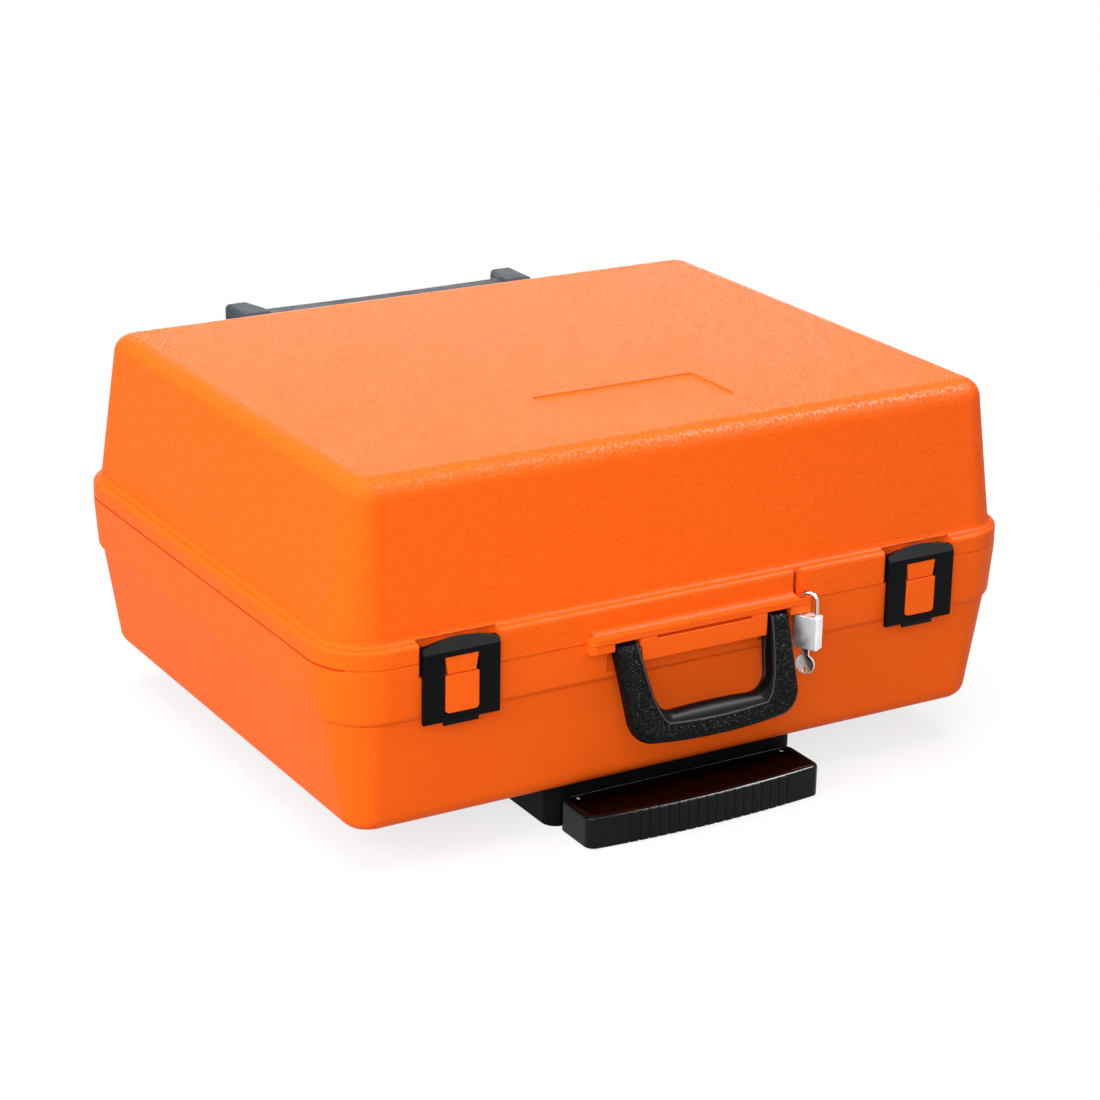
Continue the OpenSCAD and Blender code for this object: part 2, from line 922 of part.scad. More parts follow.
module carry_handle() {
    color(black)
        translate([0, pivot_y, pivot_z])
            rotate([-handle_lean, 0, 0])
                difference() {
                    union() {
                        handle_sweep();
                        both_sides(arm_x)
                            bar_x(handle_t / 2, handle_arm);
                    }
                    bar_x(handle_pin_d / 2 + fit, 2 * handle_pin_end);
                }
}

handle_pin_end = handle_w / 2 - 5;
handle_pin_len = handle_pin_end - bracket_w / 2 + 16;

module handle_pins() {
    color(steel)
        both_sides(handle_pin_end - handle_pin_len / 2 - 0.2)
            translate([0, pivot_y, pivot_z])
                bar_x(handle_pin_d / 2, handle_pin_len);
}

// Padlock, drawn with its legs along X and then turned and hung in the hasp

plug_r = 3;
plug_x = -1;
plug_h = 15;
long_leg = 22;
short_leg = 6;

module at_lock() {
    translate([lock_mid.x, lock_mid.y, 0])
        rotate([0, 0, lock_turn])
            children();
}

module padlock_shackle() {
    legs = [[-1, lock_top - long_leg], [1, lock_top - short_leg]];
    color(steel)
        at_lock() {
            translate([0, 0, shackle_z])
                rotate([90, 0, 0])
                    rotate_extrude(angle = 180)
                        translate([shackle_gap / 2, 0])
                            circle(shackle_d / 2);
            for (leg = legs)
                translate([leg[0] * shackle_gap / 2, 0, leg[1]])
                    cylinder(r = shackle_d / 2, h = shackle_z - leg[1] + eps);
        }
}

module padlock_body() {
    edge = 1.6;
    legs = [[-1, long_leg + 0.5], [1, short_leg + 0.5]];
    color(steel)
        at_lock()
            difference() {
                translate([0, 0, lock_top - lock_h])
                    slab(lock_w, lock_t, edge, lock_h);
                for (leg = legs)
                    translate([leg[0] * shackle_gap / 2, 0, lock_top - leg[1]])
                        cylinder(r = shackle_d / 2 + fit, h = leg[1] + 1);
                translate([plug_x, 0, lock_top - lock_h - 1])
                    cylinder(r = plug_r + fit, h = plug_h + 1.3);
            }
}

key_blade_w = 4;
key_blade_len = 11;

module padlock_plug() {
    low = lock_top - lock_h;
    color(brass)
        at_lock()
            translate([plug_x, 0, low])
                difference() {
                    translate([0, 0, 0.2])
                        cylinder(r = plug_r, h = plug_h);
                    translate([-key_blade_w / 2 - fit, -key_t / 2 - fit, -1])
                        cube([key_blade_w + 2 * fit, key_t + 2 * fit, key_blade_len + 1.2]);
                }
}

module padlock_key() {
    low = lock_top - lock_h;
    bow_z = low - key_neck - key_bow_d / 2 + 1;
    color(steel)
        at_lock()
            upright(-key_t / 2, key_t / 2)
                translate([plug_x, 0]) {
                    translate([-key_blade_w / 2, bow_z])
                        square([key_blade_w, low + key_blade_len - bow_z]);
                    translate([-key_blade_w / 2 - 1, bow_z])
                        square([key_blade_w + 2, low - bow_z - 1]);
                    difference() {
                        translate([0, bow_z])
                            circle(key_bow_d / 2);
                        translate([0, bow_z - key_bow_d / 2 + 3.6])
                            circle(1.8);
                    }
                }
}

// Trolley chassis

chassis_r = 12;

module chassis_plan(inset) {
    len = chassis_end - chassis_front;
    translate([0, (chassis_end + chassis_front) / 2])
        rounded(chassis_w - 2 * inset, len - 2 * inset, chassis_r - inset);
}

saddle_t = 8;
saddle_front = 110;
saddle_mid = 40;
saddle_back = 12;
saddle_y = [
    chassis_front + saddle_front,
    (chassis_front + tube_end) / 2 + saddle_mid,
    tube_end - saddle_back
];

module chassis() {
    floor_t = 3.5;
    tube_bore = tube_d / 2 + fit;
    color(black)
        difference() {
            union() {
                difference() {
                    linear_extrude(chassis_h)
                        chassis_plan(0);
                    translate([0, 0, floor_t])
                        linear_extrude(chassis_h)
                            chassis_plan(chassis_wall);
                }
                // Front guide block and the saddles behind it, which carry the fixed tubes
                both_sides(tube_x)
                    span([-tube_d / 2 - 4, chassis_front + 1, 0], [tube_d / 2 + 4, chassis_front + 24, chassis_h]);
                for (y = saddle_y)
                    span([-chassis_w / 2 + 1, y - saddle_t / 2, 1], [chassis_w / 2 - 1, y + saddle_t / 2, chassis_h - 4]);
                for (p = screw_places)
                    translate([p.x, p.y, 1])
                        cylinder(r = boss_r, h = chassis_h - 1);
                // Lugs at the back that hold the axle
                both_sides(lug_x) {
                    translate([0, axle_y, axle_z])
                        bar_x(axle_d / 2 + 5.5, lug_w);
                    across(lug_w)
                        polygon([
                            [chassis_end - chassis_wall, 0],
                            [chassis_end - chassis_wall, chassis_h],
                            [axle_y, axle_z + axle_d / 2 + 5.5],
                            [axle_y + 4, axle_z - axle_d / 2 - 4],
                            [chassis_end + 6, 0]
                        ]);
                }
            }
            both_sides(tube_x)
                translate([0, chassis_front - 1, tube_z])
                    rotate([-90, 0, 0])
                        cylinder(r = tube_bore, h = tube_end - chassis_front + 2);
            translate([0, axle_y, axle_z])
                bar_x(axle_d / 2 + fit, chassis_w);
            // Room for the wheels where they stand behind the chassis corners
            both_sides(wheel_x)
                translate([0, axle_y, axle_z])
                    bar_x(wheel_d / 2 + arch_room, wheel_w + 2 * arch_room);
            for (p = screw_places)
                translate([p.x, p.y, floor_t + 4])
                    cylinder(r = screw_d / 2 + fit, h = chassis_h);
        }
}

module chassis_screws() {
    head_r = 5;
    head_h = 2.6;
    len = wall + screw_bite;
    color(steel)
        for (p = screw_places)
            translate([p.x, p.y, case_z + wall]) {
                translate([0, 0, -len])
                    cylinder(r = screw_d / 2, h = len + eps);
                difference() {
                    cylinder(r = head_r, h = head_h);
                    for (turn = [0, 90])
                        rotate(turn)
                            translate([-3, -0.6, head_h - 1.2])
                                cube([6, 1.2, 2]);
                }
            }
}

// Tube along Y, open at both ends
module tube(d, bore, from, to) {
    both_sides(tube_x)
        translate([0, from, tube_z])
            rotate([-90, 0, 0])
                difference() {
                    cylinder(d = d, h = to - from);
                    translate([0, 0, -1])
                        cylinder(d = bore, h = to - from + 2);
                }
}

middle_back = tube_end - 4;
inner_back = middle_back - 6;
middle_front = tube_front + collar_len;
inner_front = grip_back - 22;

module outer_tubes() {
    color(steel)
        tube(tube_d, tube_d - 2 * tube_wall, tube_front + 4, tube_end);
}

// Plastic rings in the mouths of the fixed tubes, which guide the middle tubes
module outer_collars() {
    color(black) {
        tube(tube_d - 2 * tube_wall - 2 * fit, middle_d + 2 * fit, tube_front + 4, tube_front + collar_len);
        tube(tube_d, middle_d + 2 * fit, tube_front, tube_front + 4);
    }
}

module middle_tubes() {
    color(steel)
        tube(middle_d, middle_d - 2 * tube_wall, tube_front + 4, middle_back);
}

module middle_collars() {
    color(black) {
        tube(middle_d - 2 * tube_wall - 2 * fit, inner_d + 2 * fit, tube_front + 4, tube_front + collar_len);
        tube(middle_d, inner_d + 2 * fit, tube_front, tube_front + 4);
    }
}

// Slide rings at the back of the middle tubes, which run in the fixed tubes
module middle_stops() {
    color(black) {
        tube(tube_d - 2 * tube_wall - 2 * fit, inner_d + 1.5, middle_back, middle_back + 3.5);
        tube(middle_d - 2 * tube_wall - 2 * fit, inner_d + 1.5, middle_back - stop_len, middle_back);
    }
}

module inner_tubes() {
    color(steel)
        tube(inner_d, inner_d - 2 * tube_wall, inner_front, inner_back);
}

// Slide rings at the back of the inner tubes, which run in the middle tubes
module inner_stops() {
    plug_d = inner_d - 2 * tube_wall - 2 * fit;
    color(black)
        tube(plug_d, plug_d - 4, inner_back - stop_len, inner_back);
}

// Grip of the telescopic handle

bow_r = (pow(grip_w / 2, 2) + pow(grip_bow, 2)) / (2 * grip_bow);

bow_y = grip_front + bow_r;
corner_x = grip_w / 2 - grip_r;
corner_y = bow_y - sqrt(pow(bow_r - grip_r, 2) - pow(corner_x, 2));

// Bowed front, straight back and round corners that run into the bow
module grip_plan(inset) {
    meet_x = corner_x * (bow_r - inset) / (bow_r - grip_r);
    back = grip_back - inset;
    intersection() {
        translate([0, bow_y])
            circle(bow_r - inset, $fn = 512);
        translate([-meet_x, grip_front - 1])
            square([2 * meet_x, back - grip_front + 1]);
    }
    translate([-grip_w / 2 + inset, corner_y])
        square([grip_w - 2 * inset, back - grip_r + inset - corner_y]);
    translate([-corner_x, corner_y])
        square([2 * corner_x, back - corner_y]);
    for (x = [-1, 1], y = [corner_y, grip_back - grip_r])
        translate([x * corner_x, y])
            circle(grip_r - inset);
}

cover_t = 3;
rim = 4.5;

module grip_body() {
    color(black)
        difference() {
            translate([0, 0, grip_low])
                soft_top(grip_h - grip_low, grip_edge_r)
                    grip_plan(0);
            // Seat of the cover
            translate([0, 0, grip_h - cover_t])
                linear_extrude(cover_t + 1)
                    grip_plan(rim);
            // Grooves for the fingers, spread over the bowed front
            for (i = [0 : grip_grooves - 1])
                let (x = (i - (grip_grooves - 1) / 2) * groove_pitch)
                translate([x, grip_front + bow_r - sqrt(pow(bow_r, 2) - pow(x, 2)), -1])
                    cylinder(r = groove_r, h = grip_h + 2, $fn = 24);
            both_sides(tube_x)
                translate([0, inner_front - 0.1, tube_z])
                    rotate([-90, 0, 0])
                        cylinder(r = inner_d / 2 + fit, h = grip_d);
            both_sides(grip_screw_x)
                translate([0, grip_screw_y, grip_h - 12])
                    cylinder(r = 1 + fit, h = 20);
        }
}

cover_top = grip_h - 0.3;
grip_screw_y = grip_back - rim - 4;
head_r = 2;
head_h = 1.2;

module grip_cover() {
    color(black)
        difference() {
            translate([0, 0, grip_h - cover_t])
                linear_extrude(cover_top - grip_h + cover_t)
                    grip_plan(rim + 0.2);
            both_sides(grip_screw_x)
                translate([0, grip_screw_y, 0]) {
                    cylinder(r = 1 + fit, h = 2 * grip_h);
                    translate([0, 0, cover_top - head_h])
                        cylinder(r = head_r + fit, h = grip_h);
                }
        }
}

// Small screws sunk flush in the cover
module grip_screws() {
    color(steel)
        both_sides(grip_screw_x)
            translate([0, grip_screw_y, cover_top - head_h]) {
                translate([0, 0, -7])
                    cylinder(r = 1, h = 7 + eps);
                difference() {
                    cylinder(r = head_r, h = head_h);
                    for (turn = [0, 90])
                        rotate(turn)
                            translate([-1.3, -0.25, head_h - 0.6])
                                cube([2.6, 0.5, 1]);
                }
            }
}

// Wheels and toe plate

module axle() {
    color(steel)
        translate([0, axle_y, axle_z])
            bar_x(axle_d / 2, axle_len);
}

module axle_caps() {
    color(black)
        translate([0, axle_y, axle_z])
            for (side = [-1, 1])
                translate([side * axle_len / 2, 0, 0])
                    rotate([0, side * 90, 0])
                        difference() {
                            translate([0, 0, -cap_depth])
                                cylinder(r1 = axle_d / 2 + 3, r2 = axle_d / 2 + 1.5, h = cap_depth + cap_end);
                            translate([0, 0, -cap_depth - 1])
                                cylinder(r = axle_d / 2 + fit, h = cap_depth + 1);
                        }
}

module wheel_spacers() {
    from = lug_x + lug_w / 2 + 0.2;
    to = wheel_x - wheel_w / 2 - 0.3;
    color(black)
        both_sides((from + to) / 2)
            translate([0, axle_y, axle_z])
                difference() {
                    bar_x(axle_d / 2 + 3, to - from);
                    bar_x(axle_d / 2 + fit, to - from + 2);
                }
}

tyre_t = 6;

module wheel_hub(x) {
    hub_r = wheel_d / 2 - tyre_t;
    spokes = 6;
    color(charcoal)
        translate([x, axle_y, axle_z])
            rotate([0, 90, 0])
                difference() {
                    union() {
                        cylinder(r = axle_d / 2 + 4.5, h = wheel_w, center = true);
                        difference() {
                            cylinder(r = hub_r, h = wheel_w - 4, center = true);
                            cylinder(r = hub_r - 3.5, h = wheel_w, center = true);
                        }
                        for (i = [0 : spokes - 1])
                            rotate(i * 360 / spokes)
                                translate([0, -1.75, -wheel_w / 2 + 4])
                                    cube([hub_r - 1, 3.5, wheel_w - 8]);
                    }
                    cylinder(r = axle_d / 2 + fit, h = wheel_w + 2, center = true);
                }
}

module wheel_tyre(x) {
    crown = 3;
    inner_r = wheel_d / 2 - tyre_t + 0.02;
    color(black)
        translate([x, axle_y, axle_z])
            rotate([0, 90, 0])
                rotate_extrude() {
                    translate([inner_r, -wheel_w / 2 + 1])
                        square([tyre_t - crown, wheel_w - 2]);
                    translate([inner_r, -wheel_w / 2 + 1 + crown])
                        square([wheel_d / 2 - inner_r, wheel_w - 2 - 2 * crown]);
                    for (y = [-1, 1])
                        translate([wheel_d / 2 - crown, y * (wheel_w / 2 - 1 - crown)])
                            circle(crown);
                }
}

module wheel_hub_left() {
    wheel_hub(-wheel_x);
}

module wheel_tyre_left() {
    wheel_tyre(-wheel_x);
}

module wheel_hub_right() {
    wheel_hub(wheel_x);
}

module wheel_tyre_right() {
    wheel_tyre(wheel_x);
}

// Toe plate: outline of its face, with a neck between the axle lugs and a slightly hollow outer edge
toe_front = axle_y - toe_t / 2;
toe_back = axle_y + toe_t / 2;
neck_w = 2 * (lug_x - lug_w / 2 - 1.5);
shoulder_z = axle_z + wheel_d / 2 + 6;
toe_skin = 4;
toe_rib = 5;

module toe_face() {
    sag_r = (pow(toe_w / 2, 2) + pow(toe_sag, 2)) / (2 * toe_sag);
    difference() {
        union() {
            translate([-neck_w / 2, axle_z])
                square([neck_w, shoulder_z - axle_z + 10]);
            translate([-toe_w / 2, shoulder_z])
                square([toe_w, toe_top - shoulder_z]);
        }
        translate([0, toe_top - toe_sag + sag_r])
            circle(sag_r, $fn = 512);
    }
}

// Pockets between the ribs on the back of the toe plate
module toe_pockets() {
    columns = 4;
    rows = 3;
    low = shoulder_z + toe_rib;
    high = toe_top - foot_h - toe_sag;
    cell_w = (toe_w - 2 * foot_w) / columns;
    cell_h = (high - low) / rows;
    for (c = [0 : columns - 1], r = [0 : rows - 1])
        translate([
            (c - (columns - 1) / 2) * cell_w - (cell_w - toe_rib) / 2,
            toe_front + toe_skin,
            low + r * cell_h
        ])
            cube([cell_w - toe_rib, toe_t, cell_h - toe_rib]);
}

// Plan of the left foot, flared on its inner side toward the plate
module foot_plan() {
    low = -toe_w / 2 + foot_round;
    tip = -toe_w / 2 + foot_w - foot_round;
    offset(r = foot_round)
        polygon([
            [low, toe_front + foot_round],
            [tip + foot_flare, toe_front + foot_round],
            [tip + foot_flare, toe_back - foot_round],
            [tip, foot_end - foot_round],
            [low, foot_end - foot_round]
        ]);
}

module toe_plate() {
    color(charcoal)
        difference() {
            union() {
                difference() {
                    upright(toe_front, toe_back)
                        toe_face();
                    toe_pockets();
                }
                translate([0, axle_y, axle_z])
                    bar_x(toe_t / 2, neck_w);
                // Feet that the trolley stands on when it is upright
                for (side = [0, 1])
                    mirror([side, 0, 0])
                        translate([0, 0, toe_top + foot_rise - foot_h])
                            soft_top(foot_h, foot_round)
                                foot_plan();
            }
            translate([0, axle_y, axle_z])
                bar_x(axle_d / 2 + fit, chassis_w);
        }
}

base_shell();
lid_shell();
hinge_pins();
latch_frame_left();
latch_frame_right();
latch_pin_left();
latch_pin_right();
carry_handle();
handle_pins();
padlock_shackle();
padlock_body();
padlock_plug();
padlock_key();
chassis();
chassis_screws();
outer_tubes();
outer_collars();
middle_tubes();
middle_collars();
middle_stops();
inner_tubes();
inner_stops();
grip_body();
grip_cover();
grip_screws();
axle();
axle_caps();
wheel_spacers();
wheel_hub_left();
wheel_tyre_left();
wheel_hub_right();
wheel_tyre_right();
toe_plate();
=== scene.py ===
import math

import bmesh
import bpy
from mathutils import Matrix, Vector


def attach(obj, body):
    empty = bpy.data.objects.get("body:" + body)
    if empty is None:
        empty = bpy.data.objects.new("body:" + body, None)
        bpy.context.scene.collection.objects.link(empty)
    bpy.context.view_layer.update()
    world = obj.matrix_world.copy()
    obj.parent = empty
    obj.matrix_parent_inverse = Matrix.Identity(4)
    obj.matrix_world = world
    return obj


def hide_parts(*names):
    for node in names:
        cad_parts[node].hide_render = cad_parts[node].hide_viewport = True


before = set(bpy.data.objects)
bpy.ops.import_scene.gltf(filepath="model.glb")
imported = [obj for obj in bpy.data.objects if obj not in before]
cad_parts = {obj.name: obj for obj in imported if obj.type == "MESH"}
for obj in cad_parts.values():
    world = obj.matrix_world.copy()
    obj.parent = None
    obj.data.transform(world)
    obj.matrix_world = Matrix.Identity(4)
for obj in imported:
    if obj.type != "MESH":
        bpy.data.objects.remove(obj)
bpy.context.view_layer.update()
scene = bpy.context.scene
scene.view_settings.view_transform = "Standard"

# Camera: in front of the case's left corner and looking down on it a little.
# Its place, turn and lens follow the perspective of the case's straight edges in the photograph.
view_place = Vector((-1.13573, -1.93271, 0.95217))
view_azimuth = math.radians(-30.71)
view_down = math.radians(20.022)
view_roll = math.radians(0.946)
view_lens = 96.28
view_sensor = 36.0

camera_data = bpy.data.cameras.new("camera")
camera_data.lens = view_lens
camera_data.sensor_width = view_sensor
camera = bpy.data.objects.new("camera", camera_data)
camera.matrix_world = (
    Matrix.Translation(view_place)
    @ Matrix.Rotation(view_azimuth, 4, "Z")
    @ Matrix.Rotation(math.pi / 2 - view_down, 4, "X")
    @ Matrix.Rotation(view_roll, 4, "Z")
)
scene.collection.objects.link(camera)
scene.camera = camera

# Studio: one broad soft box overhead, one at the left and a weaker one in front, in a white room.
# Three more stand behind and at the right, and only show as gloss on the lid's top and on round edges.
# The room and the floor show as plain white, and the floor keeps a faint shadow of the trolley.
room_level = 0.4
floor_half = 6.0
floor_gap = 0.0006
floor_tone = 0.36
floor_white = 0.9
floor_shadow_share = 0.25
shadow_core = 0.39
shadow_reach = 1.3
soft_boxes = [
    ("overhead", (0.0, 0.2, 2.6), (0.0, 0.0, 0.2), (2.6, 2.6), 78.0),
    ("left_side", (-2.5, -0.5, 1.4), (0.0, 0.0, 0.2), (1.8, 1.8), 62.0),
    ("front_fill", (-1.5, -2.3, 1.5), (-0.2, -0.1, 0.15), (1.8, 1.8), 46.0),
]
gloss_boxes = [
    ("back_glow", (1.2, 2.6, 0.45), (0.0, 0.1, 0.3), (2.2, 0.8), 27.0),
    ("edge_spark", (1.5, -0.7, 2.2), (0.1, -0.2, 0.2), (0.8, 0.8), 170.0),
    ("bevel_glow", (1.25, -1.8, 1.5), (0.0, -0.24, 0.18), (0.9, 0.9), 26.0),
]


def white_to_the_eye(nodes, links):
    """1 on camera, glossy and transmission rays, else 0."""
    path = nodes.new("ShaderNodeLightPath")
    seen = path.outputs["Is Camera Ray"]
    for ray in ("Is Glossy Ray", "Is Transmission Ray"):
        most = nodes.new("ShaderNodeMath")
        most.operation = "MAXIMUM"
        links.new(seen, most.inputs[0])
        links.new(path.outputs[ray], most.inputs[1])
        seen = most.outputs[0]
    return seen


room = bpy.data.worlds.new("white_room")
scene.world = room
room.use_nodes = True
room_nodes = room.node_tree.nodes
room_links = room.node_tree.links
background = room_nodes["Background"]
background.inputs["Color"].default_value = (1, 1, 1, 1)
level = room_nodes.new("ShaderNodeMapRange")
level.inputs["To Min"].default_value = room_level
level.inputs["To Max"].default_value = 1.0
room_links.new(white_to_the_eye(room_nodes, room_links), level.inputs["Value"])
room_links.new(level.outputs["Result"], background.inputs["Strength"])

gloss_names = [gloss[0] for gloss in gloss_boxes]
for box_name, box_place, box_aim, box_size, box_power in soft_boxes + gloss_boxes:
    lamp = bpy.data.lights.new(box_name, "AREA")
    lamp.shape = "RECTANGLE"
    lamp.size, lamp.size_y = box_size
    lamp.energy = box_power
    lamp_object = bpy.data.objects.new(box_name, lamp)
    towards = Vector(box_aim) - Vector(box_place)
    lamp_object.location = box_place
    lamp_object.rotation_euler = towards.to_track_quat("-Z", "Y").to_euler()
    lamp_object.visible_diffuse = box_name not in gloss_names
    scene.collection.objects.link(lamp_object)

floor_mesh = bpy.data.meshes.new("floor")
floor_mesh.from_pydata(
    [(x * floor_half, y * floor_half, -floor_gap) for x, y in ((-1, -1), (1, -1), (1, 1), (-1, 1))],
    [],
    [(0, 1, 2, 3)],
)
floor = bpy.data.objects.new("floor", floor_mesh)
scene.collection.objects.link(floor)
floor_paint = bpy.data.materials.new("white_floor")
floor_paint.use_nodes = True
floor_nodes = floor_paint.node_tree.nodes
floor_links = floor_paint.node_tree.links
floor_nodes.clear()
floor_glow = floor_nodes.new("ShaderNodeEmission")
floor_lit = floor_nodes.new("ShaderNodeBsdfDiffuse")
floor_lit.inputs["Color"].default_value = (floor_white, floor_white, floor_white, 1)
floor_dim = floor_nodes.new("ShaderNodeBsdfDiffuse")
floor_dim.inputs["Color"].default_value = (floor_tone, floor_tone, floor_tone, 1)
floor_seen = floor_nodes.new("ShaderNodeMixShader")
floor_place = floor_nodes.new("ShaderNodeTexCoord")
floor_far = floor_nodes.new("ShaderNodeVectorMath")
floor_far.operation = "LENGTH"
floor_fade = floor_nodes.new("ShaderNodeMapRange")
floor_fade.interpolation_type = "SMOOTHSTEP"
floor_fade.inputs["From Min"].default_value = shadow_core
floor_fade.inputs["From Max"].default_value = shadow_reach
floor_fade.inputs["To Min"].default_value = floor_shadow_share
floor_fade.inputs["To Max"].default_value = 0.0
floor_links.new(floor_place.outputs["Object"], floor_far.inputs[0])
floor_links.new(floor_far.outputs["Value"], floor_fade.inputs["Value"])
floor_links.new(floor_fade.outputs["Result"], floor_seen.inputs["Fac"])
floor_both = floor_nodes.new("ShaderNodeMixShader")
floor_out = floor_nodes.new("ShaderNodeOutputMaterial")
floor_links.new(floor_glow.outputs[0], floor_seen.inputs[1])
floor_links.new(floor_lit.outputs[0], floor_seen.inputs[2])
floor_links.new(white_to_the_eye(floor_nodes, floor_links), floor_both.inputs["Fac"])
floor_links.new(floor_dim.outputs[0], floor_both.inputs[1])
floor_links.new(floor_seen.outputs[0], floor_both.inputs[2])
floor_links.new(floor_both.outputs[0], floor_out.inputs["Surface"])
floor_mesh.materials.append(floor_paint)

# Base of the case: an orange injection moulding with a rim band, a shelf and handle bracket at the front
# and a boss for each latch. Its skin has a fine spark-eroded grain.
mm = 0.001
shell_orange = (0.95, 0.126, 0.007, 1)
# A darker orange, for the random flow marks and for the painted shade in the grain's creases.
shell_dark_tone_and_shade = (0.74, 0.08, 0.004, 1)
shell_fleck = (0.5, 0.045, 0.003, 1)
# The dark red of the painted shade along the slit between lid and base.
shell_gap_painted_shade = (0.5, 0.035, 0.002, 1)
shell_edge = 0.7 * mm
shell_sharp = 70.0
shell_round = 1.2 * mm
shell_patch = 220 * mm
flow_shade = 0.06
crease_shade = 0.3
crease_dullness = 0.55
base_grain_cell = 0.9 * mm
base_grain_depth = 0.03 * mm
weld_gap = 0.004 * mm
flat_within = 0.2


def shader_group(name, inputs, outputs):
    """Empty node group with float inputs and typed outputs. Gives the tree and its two end nodes."""
    tree = bpy.data.node_groups.new(name, "ShaderNodeTree")
    for socket, value in inputs:
        made = tree.interface.new_socket(socket, in_out="INPUT", socket_type="NodeSocketFloat")
        made.default_value = value
    for socket, kind in outputs:
        tree.interface.new_socket(socket, in_out="OUTPUT", socket_type=kind)
    return tree, tree.nodes.new("NodeGroupInput"), tree.nodes.new("NodeGroupOutput")


def math_node(tree, operation, *values):
    """Math node whose inputs are sockets or numbers."""
    made = tree.nodes.new("ShaderNodeMath")
    made.operation = operation
    for slot, value in zip(made.inputs, values):
        if isinstance(value, bpy.types.NodeSocket):
            tree.links.new(value, slot)
        else:
            slot.default_value = value
    return made.outputs[0]


def object_place(tree, size):
    """Object coordinates divided by a size, so that one cell is as wide as that size."""
    place = tree.nodes.new("ShaderNodeTexCoord").outputs["Object"]
    scaled = tree.nodes.new("ShaderNodeVectorMath")
    scaled.operation = "SCALE"
    tree.links.new(place, scaled.inputs[0])
    tree.links.new(math_node(tree, "DIVIDE", 1.0, size), scaled.inputs["Scale"])
    return scaled.outputs[0]


# Leather grain as cut into the mould: round pads with fine creases between them, over a wider unevenness.
cloud_fineness = 0.55
cloud_height = 0.7
grain_tree, grain_in, grain_out = shader_group(
    "mould_grain",
    [("Cell", 1.4 * mm), ("Crease", 0.25)],
    [("Height", "NodeSocketFloat"), ("Creases", "NodeSocketFloat")],
)
grain_place = object_place(grain_tree, grain_in.outputs["Cell"])
grain_pads = grain_tree.nodes.new("ShaderNodeTexVoronoi")
grain_pads.feature = "DISTANCE_TO_EDGE"
grain_pads.inputs["Scale"].default_value = 1.0
grain_tree.links.new(grain_place, grain_pads.inputs["Vector"])
grain_cloud = grain_tree.nodes.new("ShaderNodeTexNoise")
grain_cloud.inputs["Scale"].default_value = cloud_fineness
grain_cloud.inputs["Detail"].default_value = 2.0
grain_tree.links.new(grain_place, grain_cloud.inputs["Vector"])
pad_rise = grain_tree.nodes.new("ShaderNodeMapRange")
pad_rise.interpolation_type = "SMOOTHSTEP"
grain_tree.links.new(grain_pads.outputs["Distance"], pad_rise.inputs["Value"])
grain_tree.links.new(grain_in.outputs["Crease"], pad_rise.inputs["From Max"])
uneven = math_node(grain_tree, "MULTIPLY", grain_cloud.outputs["Fac"], cloud_height)
grain_tree.links.new(
    math_node(grain_tree, "ADD", pad_rise.outputs["Result"], uneven), grain_out.inputs["Height"]
)
grain_tree.links.new(
    math_node(grain_tree, "SUBTRACT", 1.0, pad_rise.outputs["Result"]), grain_out.inputs["Creases"]
)

# Changes over a moulding: flow marks in its tone, a finish that isn't equally dull, and fine specks.
life_tree, life_in, life_out = shader_group(
    "moulding_life",
    [("Patch", 60 * mm), ("Speck", 2.5 * mm)],
    [("Tone", "NodeSocketFloat"), ("Dullness", "NodeSocketFloat"), ("Specks", "NodeSocketFloat")],
)
life_clouds = [
    ("Patch", "Tone", 1.0, 3.0),
    ("Patch", "Dullness", 2.3, 6.0),
    ("Speck", "Specks", 1.0, 1.0),
]
for source, target, fineness, detail in life_clouds:
    cloud = life_tree.nodes.new("ShaderNodeTexNoise")
    cloud.inputs["Scale"].default_value = fineness
    cloud.inputs["Detail"].default_value = detail
    life_tree.links.new(object_place(life_tree, life_in.outputs[source]), cloud.inputs["Vector"])
    life_tree.links.new(cloud.outputs["Fac"], life_out.inputs[target])

# Rounded edges: the normal of an edge that is broken by a small radius, and a mask of where that is.
edge_reach = 5.0
edge_tree, edge_in, edge_out = shader_group(
    "broken_edge",
    [("Radius", 0.8 * mm)],
    [("Normal", "NodeSocketVector"), ("Edge", "NodeSocketFloat")],
)
edge_round = edge_tree.nodes.new("ShaderNodeBevel")
edge_round.samples = 6
edge_tree.links.new(edge_in.outputs["Radius"], edge_round.inputs["Radius"])
edge_flat = edge_tree.nodes.new("ShaderNodeNewGeometry")
edge_turn = edge_tree.nodes.new("ShaderNodeVectorMath")
edge_turn.operation = "DOT_PRODUCT"
edge_tree.links.new(edge_round.outputs[0], edge_turn.inputs[0])
edge_tree.links.new(edge_flat.outputs["Normal"], edge_turn.inputs[1])
edge_lift = math_node(edge_tree, "SUBTRACT", 1.0, edge_turn.outputs["Value"])
edge_mask = math_node(edge_tree, "MULTIPLY", edge_lift, edge_reach)
edge_mask.node.use_clamp = True
edge_tree.links.new(edge_round.outputs[0], edge_out.inputs["Normal"])
edge_tree.links.new(edge_mask, edge_out.inputs["Edge"])
